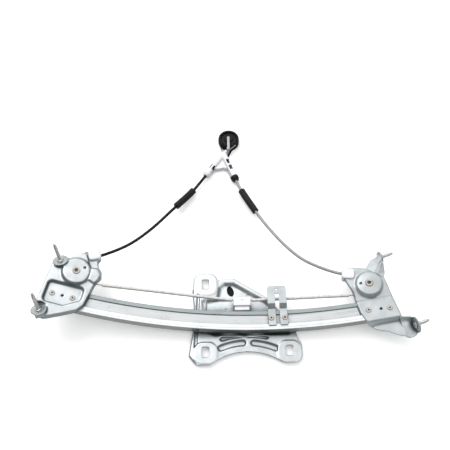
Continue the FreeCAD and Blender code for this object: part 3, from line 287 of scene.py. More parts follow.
def rail_sheet():
    """The rail's rolled zinc: a brushed web, a painted highlight on its lower bead, and painted
    shade on its upper strip, its bend lines, its side walls and its corners.
    """
    graph = Graph("rail_zinc", (0.62, 0.65, 0.66), 0.9, 0.3)
    height = graph.across_rail()
    streaks = graph.noise(graph.rail_vector(height), 1, 4)
    cloud = graph.noise(graph.coordinates(), 45, 5)
    web = graph.mix(graph.spread(streaks, 0, 1), (0.43, 0.45, 0.46), (0.6, 0.615, 0.62))
    # Painted highlight: the lower bead is lighter than the web.
    bead = graph.mix(graph.spread(height, 1, 0, *BEAD_EDGE), web, (0.72, 0.74, 0.75))
    # Painted shade: the upper strip is darker than the web.
    strip = graph.mix(graph.spread(height, 0, 1, *STRIP_EDGE), bead, (0.3, 0.335, 0.34))
    # Painted shade: a dark line along each bend.
    for place in BEND_LINES:
        line = graph.spread(height, 0, 1, place - BEND_WIDTH, place)
        other = graph.spread(height, 1, 0, place, place + BEND_WIDTH)
        strip = graph.mix(graph.product(line, other), strip, (0.34, 0.37, 0.37))
    # Painted shade: the rail is darker on its side walls.
    plate = graph.mix(graph.walls(), (0.2, 0.215, 0.2), strip)
    # Painted shade: the rail turns dark deep in corners.
    graph.paint(graph.shaded(plate, RAIL_CORNER_REACH, (0.12, 0.14, 0.135)))
    graph.gloss(cloud, 0.24, 0.4)
    return graph.material


def plain_metal(name, dark, light, roughness, scale=300):
    """A turned steel piece with fine marks of handling, and painted shade deep in its corners."""
    graph = Graph(name, light, 0.95, roughness)
    marks = graph.noise(graph.coordinates(), scale, 5)
    steel = graph.mix(graph.spread(marks, 0, 1), dark, light)
    # Painted shade: the steel turns dark deep in corners.
    corner = tuple(CORNER_SHADE * part for part in dark)
    graph.paint(graph.shaded(steel, METAL_CORNER_REACH, corner, 0.2, 0.8))
    graph.gloss(marks, roughness - 0.08, roughness + 0.1)
    graph.relief(marks, *METAL_RELIEF)
    return graph.material


def moulded(name, dark, light, roughness, **inputs):
    """Moulded plastic: a faint pebble, a colour that varies a little, and painted shade on its
    steep walls.
    """
    graph = Graph(name, light, 0, roughness, **inputs)
    pebble = graph.noise(graph.coordinates(), PLASTIC_PEBBLE, 2)
    cloud = graph.noise(graph.coordinates(), PLASTIC_CLOUD, 5)
    skin = graph.mix(graph.spread(cloud, 0, 1), dark, light)
    # Painted shade: the plastic is darker on steep walls.
    graph.paint(graph.mix(graph.walls(), tuple(WALL_SHADE * part for part in dark), skin))
    graph.gloss(cloud, roughness - 0.07, roughness + 0.09)
    graph.relief(pebble, *PLASTIC_RELIEF)
    return graph.material


MATERIALS = {
    "zinc_plated_steel": zinc_sheet(),
    "zinc_folds": folded_sheet(),
    "rail_zinc": rail_sheet(),
    "stud_steel": plain_metal("stud_steel", (0.42, 0.42, 0.4), (0.62, 0.62, 0.6), 0.36),
    "rivet_steel": plain_metal("rivet_steel", (0.3, 0.27, 0.23), (0.52, 0.49, 0.45), 0.38),
    "white_plastic": moulded("white_plastic", (0.8, 0.8, 0.83), (0.88, 0.88, 0.9), 0.36),
    "black_plastic": moulded("black_plastic", (0.004, 0.004, 0.004), (0.012, 0.012, 0.012), 0.5,
                             Specular_IOR_Level=0.2),
    # Also used for a black sheet of painted shade in the carrier's oval hole
    "black_rubber": moulded("black_rubber", (0.004, 0.004, 0.004), (0.012, 0.012, 0.012), 0.75,
                            Specular_IOR_Level=0.2),
    "wire_rope": plain_metal("wire_rope", (0.2, 0.19, 0.17), (0.4, 0.39, 0.36), 0.42, 900),
    "clear_plastic": moulded("clear_plastic", (0.6, 0.59, 0.56), (0.78, 0.77, 0.75), 0.3),
    "grey_plastic": moulded("grey_plastic", (0.3, 0.3, 0.28), (0.4, 0.4, 0.38), 0.4),
    "strap_plastic": moulded("strap_plastic", (0.4, 0.4, 0.45), (0.5, 0.5, 0.56), 0.4),
    "dark_steel": plain_metal("dark_steel", (0.012, 0.012, 0.012), (0.04, 0.04, 0.04), 0.5),
}


def dress(item, name):
    item.data.materials.clear()
    item.data.materials.append(MATERIALS[name])


def new_item(name, data, finish):
    """An object for a mesh or a curve, with its material."""
    item = bpy.data.objects.new(name, data)
    bpy.context.scene.collection.objects.link(item)
    dress(item, finish)
    return item


for part in frame["record"]["subparts"]:
    dress(frame["nodes"][part["node"]], part["material_slot"])
dress(frame["nodes"]["guide_rail"], "rail_zinc")
dress(frame["nodes"]["mid_bracket"], "zinc_folds")
dress(frame["nodes"]["drum_windings"], "dark_steel")


# Conduits and their sleeves, as the control points of smooth splines

CONDUIT_DIAMETER = 0.005
ROUTES = {
    "left": [
        (-0.0358, 0.134, 0.0075), (-0.0485, 0.116, 0.0075), (-0.0642, 0.092, 0.0091),
        (-0.0967, 0.054, 0.0156), (-0.1232, 0.019, 0.0226), (-0.1482, -0.0095, 0.0306),
        (-0.1712, -0.031, 0.0386), (-0.202, -0.0496, 0.0478), (-0.2218, -0.0584, 0.0517),
    ],
    "right": [
        (0.0103, 0.124, 0.0075), (0.0181, 0.1034, 0.0075), (0.0268, 0.085, 0.0081),
        (0.0488, 0.041, 0.0136), (0.0728, 0.0005, 0.0196), (0.0978, -0.034, 0.0246),
        (0.1238, -0.06, 0.0281), (0.175, -0.0851, 0.0323), (0.1967, -0.0881, 0.0349),
    ],
}
SLEEVE_DIAMETER = 0.012
SLEEVES = {
    "left": [(-0.0625, 0.0953, 0.0091), (-0.0696, 0.0857, 0.0102), (-0.0861, 0.0664, 0.0135),
             (-0.0915, 0.0599, 0.0147)],
    "right": [(0.0225, 0.0942, 0.0078), (0.0268, 0.085, 0.0081), (0.0417, 0.0553, 0.0118),
              (0.0456, 0.0478, 0.0128)],
}


def smooth_line(name, points, diameter, finish):
    """A round cord with the points as its spline's control points."""
    data = bpy.data.curves.new(name, "CURVE")
    data.dimensions = "3D"
    data.resolution_u = 24
    spline = data.splines.new("NURBS")
    spline.points.add(len(points) - 1)
    for place, point in zip(points, spline.points):
        point.co = (*place, 1)
    spline.order_u = 3
    spline.use_endpoint_u = True
    data.bevel_depth = diameter / 2
    data.bevel_resolution = 6
    data.use_fill_caps = True
    return new_item(name, data, finish)


def sleeve(side):
    """The black sleeve, on the same route as its conduit."""
    item = smooth_line(f"{side}_sleeve_line", SLEEVES[side], SLEEVE_DIAMETER, "black_plastic")
    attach(item, "frame")
    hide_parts(f"{side}_sleeve")
    return item


def conduit(side, finish):
    """A conduit along its route, with its sleeve."""
    item = smooth_line(f"{side}_conduit_line", ROUTES[side], CONDUIT_DIAMETER, finish)
    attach(item, "frame")
    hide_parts(f"{side}_conduit")
    sleeve(side)


conduit("left", "black_plastic")
conduit("right", "grey_plastic")


# Pieces made of rings of points

def ring_mesh(name, rings, finish):
    """A mesh through rings of points, with its ends closed."""
    shape = bmesh.new()
    rows = [[shape.verts.new(point) for point in ring] for ring in rings]
    for row, following in zip(rows, rows[1:]):
        for index in range(len(row)):
            after = (index + 1) % len(row)
            shape.faces.new((row[index], row[after], following[after], following[index]))
    shape.faces.new(rows[0][::-1])
    shape.faces.new(rows[-1])
    bmesh.ops.recalc_face_normals(shape, faces=shape.faces)
    for face in shape.faces:
        face.smooth = True
    data = bpy.data.meshes.new(name)
    shape.to_mesh(data)
    shape.free()
    return new_item(name, data, finish)


def round_points(centre, side, other, radius, count):
    """Points round a centre, in the plane of two directions."""
    step = 2 * math.pi / count
    return [centre + (side * math.cos(step * index) + other * math.sin(step * index)) * radius
            for index in range(count)]


def circle_points(centre, along, radius, count):
    """Points round a centre, square to a direction."""
    side = along.orthogonal().normalized()
    return round_points(centre, side, along.cross(side).normalized(), radius, count)


def tube(name, path, radius, count, finish):
    """A round tube along a path of points, without a twist."""
    rings = []
    side = (path[1] - path[0]).orthogonal().normalized()
    for index, place in enumerate(path):
        along = (path[min(index + 1, len(path) - 1)] - path[max(index - 1, 0)]).normalized()
        side = (side - along * side.dot(along)).normalized()
        rings.append(round_points(place, side, along.cross(side), radius, count))
    return ring_mesh(name, rings, finish)


def middle_of(points):
    return sum(points, Vector()) / len(points)


# Studs with rolled threads

THREAD_PITCH = 1.0 * MM
THREAD_DEPTH = 0.34 * MM
THREAD_STEPS = 5
THREAD_RUNOUT = 1.5 * MM
STUD_SECTORS = 28
STUD_SHEET = 2 * MM
STUD_HEAD = 1.5 * MM
STUD_HEAD_REACH = 2.4 * MM
STUD_HEAD_EDGE = 0.4 * MM
STUD_COLLAR = 1.2 * MM
STUD_COLLAR_REACH = 1.9 * MM
STUD_COLLAR_EDGE = 0.3 * MM
STUD_POINT_RINGS = ((1.5 * MM, 2.2 * MM), (4.4 * MM, 2.15 * MM), (4.95 * MM, 1.5 * MM))


def stud_ring(centre, side, other, height, radius, threaded):
    """Points round a stud at a height, cut by the thread where it is threaded."""
    points = []
    for index in range(STUD_SECTORS):
        angle = 2 * math.pi * index / STUD_SECTORS
        reach = radius
        if threaded:
            phase = (height / THREAD_PITCH - angle / (2 * math.pi)) % 1
            reach -= THREAD_DEPTH * abs(2 * phase - 1)
        points.append(centre + (side * math.cos(angle) + other * math.sin(angle)) * reach)
    return points


def stud_profile(radius, shank):
    """The height and radius of each of a stud's rings, and whether it is threaded."""
    head, collar = radius + STUD_HEAD_REACH, radius + STUD_COLLAR_REACH
    back, tip = -STUD_SHEET - STUD_HEAD, STUD_COLLAR + shank
    foot = ((back, 0.6 * head), (back, head - STUD_HEAD_EDGE), (back + STUD_HEAD_EDGE, head),
            (-STUD_SHEET, head), (-STUD_SHEET, radius), (0, radius), (0, collar),
            (STUD_COLLAR - STUD_COLLAR_EDGE, collar), (STUD_COLLAR, collar - STUD_COLLAR_EDGE),
            (STUD_COLLAR, radius))
    start, step = STUD_COLLAR + THREAD_RUNOUT, THREAD_PITCH / THREAD_STEPS
    rows = int((tip - start) / step)
    return ([(height, reach, False) for height, reach in foot]
            + [(start + row * step, radius, True) for row in range(rows)]
            + [(tip + height, reach, False) for height, reach in STUD_POINT_RINGS])


def stud(name):
    """A stud as its solid has it, with a thread along the shank."""
    mount = MOUNTS[name]
    axis = Vector(mount["axis"])
    shank = mount["dims"]["length_mm"] * MM
    radius = mount["dims"]["r_mm"] * MM
    seat = Vector(mount["pos_m"]) - axis * (shank / 2 + STUD_COLLAR)
    side = axis.orthogonal().normalized()
    other = axis.cross(side)
    rings = [stud_ring(seat + axis * height, side, other, height, reach, threaded)
             for height, reach, threaded in stud_profile(radius, shank)]
    item = ring_mesh(f"{name}_threaded", rings, "stud_steel")
    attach(item, "frame")
    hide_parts(name)


for stud_name in ("left_upper_stud", "left_lower_stud", "right_upper_stud", "right_lower_stud"):
    stud(stud_name)


# Straight cable runs and their sheaths, fixed where they lie; on the real part they shorten and
# lengthen as the carrier moves

ROPE_STEPS = 270
CABLE_RADIUS = 0.9 * MM
STRANDS = 6
STRAND_POINTS = 4
STRAND_LAY = 9 * MM
STRAND_RELIEF = 0.22
SHEATH_STEPS = 90
SHEATH_RADIUS = 2.522 * MM
SHEATH_WAVE = 0.015
SHEATH_WAVE_TURN = 0.7


def ends_of(node):
    """The two ends of a straight round solid, from its own points."""
    points = [vertex.co.copy() for vertex in frame["nodes"][node].data.vertices]
    first = min(points, key=lambda point: point.x).x
    last = max(points, key=lambda point: point.x).x
    middle = (first + last) / 2
    span = (last - first) / 4
    near = [point for point in points if point.x < middle - span]
    far = [point for point in points if point.x > middle + span]
    return middle_of(near), middle_of(far)


def shortening(item, node):
    """Bake a run's place into its mesh, and hide its solid."""
    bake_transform(item)
    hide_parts(node)


def run(side):
    """A wire rope: strands laid round a core."""
    node = f"{side}_cable_run"
    first, last = ends_of(node)
    along = (last - first).normalized()
    lateral = along.orthogonal().normalized()
    other = along.cross(lateral)
    turns = (last - first).length / STRAND_LAY
    count = STRANDS * STRAND_POINTS
    rings = []
    for step in range(ROPE_STEPS + 1):
        place = first.lerp(last, step / ROPE_STEPS)
        twist = 2 * math.pi * turns * step / ROPE_STEPS
        ring = []
        for index in range(count):
            angle = 2 * math.pi * index / count
            lobe = 0.5 + 0.5 * math.cos(STRANDS * angle - twist)
            reach = CABLE_RADIUS * (1 - STRAND_RELIEF + STRAND_RELIEF * lobe)
            ring.append(place + (lateral * math.cos(angle) + other * math.sin(angle)) * reach)
        rings.append(ring)
    item = ring_mesh(f"{side}_cable_rope", rings, "wire_rope")
    shortening(item, node)


def sheath(side):
    """A pale tube that waves a little on its cable."""
    node = f"{side}_cable_sheath"
    first, last = ends_of(node)
    along = (last - first).normalized()
    rings = []
    for step in range(SHEATH_STEPS + 1):
        place = first.lerp(last, step / SHEATH_STEPS)
        wave = 1 + SHEATH_WAVE * math.sin(step * SHEATH_WAVE_TURN)
        rings.append(circle_points(place, along, SHEATH_RADIUS * wave, 24))
    item = ring_mesh(f"{side}_cable_sleeve", rings, "clear_plastic")
    shortening(item, node)


for side_name in ("left", "right"):
    run(side_name)
    sheath(side_name)


# Springs: coils of wire in the guide's arms

SPRING_RADIUS = 4.2 * MM
SPRING_WIRE = 0.55 * MM
SPRING_END = 4 * MM
SPRING_COILS = 15
SPRING_STEPS = 18


def spring(side):
    """A close coil along its solid."""
    node = f"{side}_spring"
    points = [vertex.co.copy() for vertex in frame["nodes"][node].data.vertices]
    low = min(point.y for point in points)
    high = max(point.y for point in points)
    first = middle_of([point for point in points if point.y < low + SPRING_END])
    last = middle_of([point for point in points if point.y > high - SPRING_END])
    along = (last - first).normalized()
    lateral = along.orthogonal().normalized()
    other = along.cross(lateral)
    radius = SPRING_RADIUS - SPRING_WIRE
    count = SPRING_COILS * SPRING_STEPS
    path = []
    for step in range(count + 1):
        angle = 2 * math.pi * step / SPRING_STEPS
        path.append(first.lerp(last, step / count)
                    + (lateral * math.cos(angle) + other * math.sin(angle)) * radius)
    item = tube(f"{side}_spring_coil", path, SPRING_WIRE, 8, "dark_steel")
    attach(item, "frame")
    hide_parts(node)


spring("left")
spring("right")


# Pressed sheets: a height over a plan, both given by signed distances in millimetres

LEFT_STATION = -0.3054
RIGHT_STATION = 0.185
EDGE_PASSES = 2
EDGE_STEP = 0.05
FLATTEST_SLOPE = 0.3


def station(arc):
    """The frame on the rail's web at an arc length from its lowest point."""
    turn = Matrix.Rotation(arc / CURVE_RADIUS, 4, RING_AXIS)
    return (Matrix.Translation(RING_CENTRE) @ turn @ Matrix.Translation(-RING_CENTRE)
            @ Matrix.Translation(RAIL_LOW))


def shifted(place, x, y):
    """A frame moved in its own plane, in millimetres."""
    return place @ Matrix.Translation((x * MM, y * MM, 0))


def ease(value, start, end):
    """0 before the start, 1 after the end, and smooth between."""
    part = np.clip((value - start) / (end - start), 0, 1)
    return part * part * (3 - 2 * part)


def between(value, rise, fall):
    """1 between a rise and a fall, each given by its start and end."""
    return ease(value, *rise) * ease(value, *fall)


def on_line(value, middle, foot, top):
    """1 on the top of a raised line, and 0 beyond its foot."""
    return ease(np.abs(value - middle), foot, top)


def toward(level, target, share):
    """A level moved a share of the way to another."""
    return level + (target - level) * share


def without(sheet, *holes):
    """A plan with holes cut out of it."""
    for hole in holes:
        sheet = np.maximum(sheet, -hole)
    return sheet


def to_line(x, y, first, last):
    """Distance to a straight line between two points."""
    run_x, run_y = last[0] - first[0], last[1] - first[1]
    part = ((x - first[0]) * run_x + (y - first[1]) * run_y) / (run_x ** 2 + run_y ** 2)
    part = np.clip(part, 0, 1)
    return np.hypot(x - first[0] - part * run_x, y - first[1] - part * run_y)


def to_polygon(x, y, corners):
    """Signed distance to a closed outline, negative inside it."""
    nearest = np.full(x.shape, np.inf)
    inside = np.zeros(x.shape, bool)
    for first, last in zip(corners, corners[1:] + corners[:1]):
        nearest = np.minimum(nearest, to_line(x, y, first, last))
        run_x, run_y = last[0] - first[0], last[1] - first[1]
        spans = (first[1] > y) != (last[1] > y)
        if run_y:
            inside ^= spans & (x < (y - first[1]) * run_x / run_y + first[0])
    return np.where(inside, -nearest, nearest)


def to_box(x, y, place, half_width, half_height, rounding):
    """Signed distance to an upright box with rounded corners."""
    across = np.abs(x - place[0]) - half_width + rounding
    up = np.abs(y - place[1]) - half_height + rounding
    outside = np.hypot(np.maximum(across, 0), np.maximum(up, 0))
    return outside + np.minimum(np.maximum(across, up), 0) - rounding


def to_circle(x, y, place, reach):
    """Signed distance to a circle."""
    return np.hypot(x - place[0], y - place[1]) - reach


def to_band(x, y, place, reach, half_width, middle, half_angle):
    """Signed distance to a curved groove with round ends, its angles from straight up."""
    angle = np.arctan2(x - place[0], y - place[1]) - math.radians(middle)
    limit = math.radians(half_angle)
    end = np.clip(angle, -limit, limit) + math.radians(middle)
    near_x, near_y = place[0] + reach * np.sin(end), place[1] + reach * np.cos(end)
    return np.hypot(x - near_x, y - near_y) - half_width


def to_edge(x, y, plan, edge):
    """Move the points beside an outline onto it, along its slope."""
    for _ in range(EDGE_PASSES):
        value = plan(x, y)
        slope_x = (plan(x + EDGE_STEP, y) - value) / EDGE_STEP
        slope_y = (plan(x, y + EDGE_STEP) - value) / EDGE_STEP
        scale = value / np.maximum(slope_x ** 2 + slope_y ** 2, FLATTEST_SLOPE)
        x = np.where(edge, x - slope_x * scale, x)
        y = np.where(edge, y - slope_y * scale, y)
    return x, y


def pressed_sheet(name, frame_at, plan, height, span, cell, thickness, finish):
    """A sheet whose plan is where a signed distance is negative."""
    (low_x, high_x), (low_y, high_y) = span
    columns, rows = int((high_x - low_x) / cell), int((high_y - low_y) / cell)
    x, y = np.meshgrid(np.linspace(low_x, high_x, columns), np.linspace(low_y, high_y, rows))
    corners = (np.s_[:-1, :-1], np.s_[1:, :-1], np.s_[:-1, 1:], np.s_[1:, 1:])
    apart = plan(x, y)
    kept = sum(apart[corner] for corner in corners) < 0
    around = np.zeros(x.shape, int)
    for corner in corners:
        around[corner] += kept
    used = around > 0
    x, y = to_edge(x, y, plan, used & (around < 4))
    number = np.full(x.shape, -1)
    number[used] = np.arange(int(used.sum()))
    points = np.stack([x, y, height(x, y)], axis=-1)[used] * MM
    quads = np.stack([number[:-1, :-1], number[:-1, 1:], number[1:, 1:], number[1:, :-1]], axis=-1)
    data = bpy.data.meshes.new(name)
    data.from_pydata(points.tolist(), [], quads[kept].tolist())
    data.transform(frame_at)
    data.update()
    data.polygons.foreach_set("use_smooth", [True] * len(data.polygons))
    item = new_item(name, data, finish)
    wall = item.modifiers.new("thickness", "SOLIDIFY")
    wall.thickness = thickness * MM
    wall.offset = -1
    return item


# The carrier: a pan under the rail, three raised ears for the glass and two rows of grooves

UPPER_EARS = ((-84, 71),)
LOWER_EARS = ((-84, -45), (47, -44))
EARS = UPPER_EARS + LOWER_EARS
# Half width, half height and corner radius
EAR = (19.5, 19.5, 13)
EAR_FACE = (18.4, 18.4, 13)
GLASS_HOLE = (6, 8.5, 3)
CARRIER_TOP = -15.6
CARRIER_STEP = 1
CARRIER_PAN = 6
CARRIER_LIP = 3
CARRIER_ARC = (-19, -138)
CARRIER_ARC_REACH = 93
BEAD_HEIGHT = 1.6
GUTTER_DEPTH = 2.6
GROOVE_DEPTH = 4
LOCATING_HOLES = ((-15.5, 52), (-50.5, 28))
LOCATING_HOLE_RADIUS = 2
CARRIER_OUTLINE = [
    (-92, 62), (-76, 62), (-64, 76), (-55, 80), (-37, 79), (-10, 61), (14, 45), (38, 17),
    (56, -8), (64, -44), (60, -60), (38, -62), (-72, -64), (-98, -64), (-109, -50),
    (-103, -10), (-101, 28), (-104, 62), (-98, 62),
]
PAN_OUTLINE = [
    (-66, 47), (-62, 66), (-54, 73), (-38, 73), (-12, 56.5), (13, 41), (35, 17), (50, -13),
    (47, -17), (-70, -17), (-88, -8), (-88, 28), (-90, 42),
]
# Each row's reach from the arc's centre, half width, middles and half angle in degrees
GROOVE_ROWS = ((108, 5.6, (-13, 15), 9.5), (121, 4.4, (-12, 8), 6.5))


def to_carrier(x, y):
    """Signed distance to the carrier's outline, without its ears."""
    return to_polygon(x, y, CARRIER_OUTLINE) - 1.5


def to_oval(x, y):
    """Signed distance to the oval access hole."""
    return to_circle(x + 0.2 * (y - 60), (y - 60) * 0.62 + 60, (-43.5, 60), 5.4)


def carrier_plan(x, y):
    """Signed distance to the carrier's plan, with its holes."""
    sheet = to_carrier(x, y)
    for place in EARS:
        sheet = np.minimum(sheet, to_box(x, y, place, *EAR))
    glass_holes = [to_box(x, y, place, *GLASS_HOLE) for place in EARS]
    pegs = [to_circle(x, y, place, LOCATING_HOLE_RADIUS) for place in LOCATING_HOLES]
    arc = to_circle(x, y, CARRIER_ARC, CARRIER_ARC_REACH)
    return without(sheet, arc, *glass_holes, to_oval(x, y), *pegs)


def carrier_height(x, y):
    """The carrier's level: a pan, a bead and a ridge in it, a gutter, a lip and the grooves."""
    level = np.full(x.shape, -float(CARRIER_STEP))
    pan = to_polygon(x, y, PAN_OUTLINE)
    level -= (CARRIER_PAN - CARRIER_STEP) * (1 - ease(pan, -5.5, 2.5))
    bead = on_line(x, -84.5, 3, 0.8) * between(y, (-14, -8), (50, 45))
    ridge = on_line(y, 45, 2.6, 0.6) * between(x, (-88, -84), (-41, -46))
    level += BEAD_HEIGHT * np.maximum(bead, ridge) * (1 - ease(pan, -3, 0))
    level -= GUTTER_DEPTH * on_line(x - 0.05 * y, -98, 3.4, 0.8) * between(y, (-56, -50), (60, 54))
    edge = np.minimum(to_carrier(x, y), 0)
    level -= CARRIER_LIP * ease(edge, -2.2, 0) * ease(x, -96, -104)
    for reach, half_width, middles, half_angle in GROOVE_ROWS:
        for middle in middles:
            groove = to_band(x, y, CARRIER_ARC, reach, half_width, middle, half_angle)
            level -= GROOVE_DEPTH * (1 - ease(groove, -3.4, 0.8)) * ease(pan, 2, 4)
    for place in UPPER_EARS:
        level = level * ease(to_box(x, y, place, *EAR_FACE), -1, 4)
    for place in LOWER_EARS:
        away = to_box(x, y, place, *EAR_FACE) + 2.5 * ease(y - place[1], 4, 14)
        level = level * ease(away, -1, 2)
    return level + CARRIER_TOP


def carrier():
    item = pressed_sheet("carrier_pressing", Matrix.Translation(RAIL_LOW), carrier_plan,
                         carrier_height, ((-116, 72), (-70, 94)), 0.9, 1.8, "zinc_plated_steel")
    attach(item, "carrier")
    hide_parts("carrier_plate")


carrier()


# Small moulded blocks with soft corners

def rounded_loop(half_x, half_y, rounding, steps=7):
    """The points of a rectangle with round corners."""
    loop = []
    for quarter, (side_x, side_y) in enumerate(((1, 1), (-1, 1), (-1, -1), (1, -1))):
        for step in range(steps):
            angle = math.pi / 2 * (quarter + step / (steps - 1))
            loop.append((side_x * (half_x - rounding) + rounding * math.cos(angle),
                         side_y * (half_y - rounding) + rounding * math.sin(angle)))
    return loop


def rounded_block(name, place, half_x, half_y, low, high, rounding, finish, soft=1.5):
    """An upright block whose top edge is rolled over, in millimetres."""
    rings = []
    for level, inset in ((low, 0), (high - soft, 0), (high - 0.5 * soft, 0.14 * soft),
                         (high - 0.15 * soft, 0.5 * soft), (high, soft)):
        loop = rounded_loop(half_x - inset, half_y - inset, rounding - min(inset, rounding - 0.3))
        rings.append([place @ Vector((x * MM, y * MM, level * MM)) for x, y in loop])
    return ring_mesh(name, rings, finish)


BLOCK_X = -25.5
BLOCK_FLOOR = -21.6


def cable_block():
    """The white block on the carrier, with a pin at its head and a ledge at its foot."""
    place = Matrix.Translation(RAIL_LOW)
    body = rounded_block("cable_block_body", shifted(place, BLOCK_X, 33), 14, 7.6,
                         BLOCK_FLOOR, 1, 2.2, "white_plastic")
    foot = rounded_block("cable_block_foot", shifted(place, BLOCK_X, 25), 12, 6.2,
                         BLOCK_FLOOR, -2.4, 2, "white_plastic")
    pin = rounded_block("cable_block_pin", shifted(place, BLOCK_X, 36.5), 2, 2,
                        -4, 2.1, 2, "white_plastic", 0.6)
    for item in (body, foot, pin):
        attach(item, "carrier")
        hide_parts("cable_end_block")


cable_block()


def hole_shade():
    """A black sheet of painted shade at the bottom of the oval hole, flush with the sheet's back.
    """
    place = shifted(Matrix.Translation(RAIL_LOW), -43.5, 60)
    # Painted shade: a thin black sheet, not a rubber part, fills the bottom of the hole.
    item = rounded_block("carrier_hole_shade", place, 8, 10, -23.4, -23.1, 6.3, "black_rubber", 0.1)
    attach(item, "carrier")


hole_shade()


# The left bracket: a tray with a dome, a hump, a recess on the rail and two tilted bosses

LEFT_STUD_WAY = (-0.44, 0.40, 0.80)
LEFT_BOSSES = ((-24, 56, 8), (-30.5, -31.5, 7))
BOSS_REACH = 12
BOSS_RIM = 0.9
TRAY = 8
HUMP_HEIGHT = 3.3
LEDGE_DEPTH = 1.8
RECESS_LEVEL = 2
STUD_RADIUS = 3
PULLEY_HOLE_RADIUS = 4.06
LEFT_DOME = (5.5, 44)
LEFT_DOME_HEIGHT = 5
LEFT_OUTLINE = [
    (-33, 47), (-22, 62), (-10, 63.5), (0, 73), (10.5, 82), (20, 88.3), (29.5, 86.5), (33.8, 78),
    (31.2, 70), (34, 63), (41, 54.5), (43, 45), (39, 36.5), (36.3, 30), (33.7, 13), (30.2, -6.5),
    (22.3, -16.8), (4, -26.8), (-17, -37.5), (-29.5, -42), (-38, -36), (-37, -20),
]
LEFT_LEDGE = [(11.3, 90), (11.3, 78.8), (25.8, 54.9), (33, 58), (45, 60), (48, 100), (11, 100)]
LEFT_RECESS = [(-24, 14), (-24.5, -9), (0, -9), (19, 2.5), (19.5, 14)]
LEFT_HUMP = [(28, 36), (37, 33), (41, 37), (42, 48), (36, 55), (28, 54)]
LEFT_HOLES = (
    (LEFT_DOME, PULLEY_HOLE_RADIUS), ((17, 52), 2.2), ((-4, 1.8), 2.2), ((-20, 1.8), 2.56),
    ((12, 1.8), 2.56),
)


def to_left(x, y):
    """Signed distance to the left bracket's outline, without its bosses."""
    return to_polygon(x, y, LEFT_OUTLINE) - 3


def left_plan(x, y):
    """Signed distance to the left bracket's plan, with its holes."""
    sheet = to_left(x, y)
    for place in LEFT_BOSSES:
        sheet = np.minimum(sheet, to_circle(x, y, place, BOSS_REACH))
    holes = [to_circle(x, y, place, reach) for place, reach in LEFT_HOLES]
    return without(sheet, *holes, *(to_circle(x, y, place, STUD_RADIUS) for place in LEFT_BOSSES))


def left_height(x, y):
    """The left bracket's level: a tray, a dome, a hump, a ledge, a recess and tilted bosses."""
    level = np.full(x.shape, float(TRAY))
    dome = to_circle(x, y, LEFT_DOME, 19.5)
    level += LEFT_DOME_HEIGHT * (1 - ease(dome, -0.5, 6))
    hump = to_polygon(x, y, LEFT_HUMP) - 2
    level = np.maximum(level, TRAY + HUMP_HEIGHT * (1 - ease(hump, -3, 2)))
    ledge = 1 - ease(to_polygon(x, y, LEFT_LEDGE), -1, 0.6)
    level -= LEDGE_DEPTH * ledge * ease(dome, 2, 4) * ease(hump, 0, 1.5)
    recess = to_polygon(x, y, LEFT_RECESS) - 7
    level = toward(level, RECESS_LEVEL, 1 - ease(recess, -3, 1.4))
    level -= TRAY * ease(np.minimum(to_left(x, y), 0), -2.4, -0.1)
    tilt_x, tilt_y, up = LEFT_STUD_WAY
    for place in LEFT_BOSSES:
        plane = place[2] - (tilt_x * (x - place[0]) + tilt_y * (y - place[1])) / up
        away = to_circle(x, y, place, BOSS_REACH)
        plane += BOSS_RIM * between(away, (-5, -2), (0.4, -1))
        level = toward(level, plane, 1 - ease(away, -0.4, 2.2))
    return level


def left_bracket():
    item = pressed_sheet("left_bracket_pressing", station(LEFT_STATION), left_plan, left_height,
                         ((-50, 52), (-52, 78)), 0.9, 1.6, "zinc_plated_steel")
    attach(item, "frame")
    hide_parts("left_bracket")


left_bracket()


# The right bracket: a folded plate with a soft dome, a lower flange and two ears

RIGHT_STUD_WAY = Vector((0.95, 0.24, -0.19)).normalized()
RIGHT_DOME = (-2.5, 40)
RIGHT_DOME_TOP = 12.6
RIGHT_DOME_SAG = 0.004
RIGHT_LEVEL = 2
RIGHT_STEP = 1.2
RIGHT_SLOPE = 4.8
RIGHT_FLANGE_DROP = 10
RIGHT_EDGE_DROP = 2.6
RIGHT_OUTLINE = [
    (-26, 72), (-14, 69.5), (-1, 65), (8, 58), (17, 48), (20.5, 46), (24, 26), (28, 5), (31.5, -17),
    (32, -30), (33, -46), (25, -43), (12, -34.5), (-4, -29), (-11, -23), (-18.5, -17), (-24, -3),
    (-26.5, 13), (-28, 32), (-33.5, 48), (-37, 60), (-34, 71),
]
RIGHT_HOLES = (
    (RIGHT_DOME, PULLEY_HOLE_RADIUS), ((-15.5, 42), 2.2), ((6.5, -2), 2.2), ((-13, -0.5), 2.56),
    ((20, -3), 2.56),
)
PAD_PROFILE = ((0.3, 0), (0.78, 0), (0.86, -0.25), (0.95, 0), (1, 0.5))
PAD_POINTS = 40


def to_right(x, y):
    """Signed distance to the right bracket's outline."""
    return to_polygon(x, y, RIGHT_OUTLINE) - 3


def right_plan(x, y):
    """Signed distance to the right bracket's plan, with its holes."""
    return without(to_right(x, y), *(to_circle(x, y, place, reach) for place, reach in RIGHT_HOLES))


def right_height(x, y):
    """The right bracket's level: a step and a slope, a dome, a lower flange and a rolled edge."""
    level = RIGHT_LEVEL + RIGHT_STEP * ease(y, 15.5, 18) + RIGHT_SLOPE * ease(y, 18, 40)
    dome = to_circle(x, y, RIGHT_DOME, 20)
    top = RIGHT_DOME_TOP - RIGHT_DOME_SAG * (dome + 20) ** 2
    level = toward(level, top, 1 - ease(dome, -2, 3.5))
    level -= RIGHT_FLANGE_DROP * ease(y, -17.5, -25.5)
    edge = ease(np.minimum(to_right(x, y), 0), -2.6, -0.1)
    level -= RIGHT_EDGE_DROP * edge * ease(y, -30, -20)
    return level


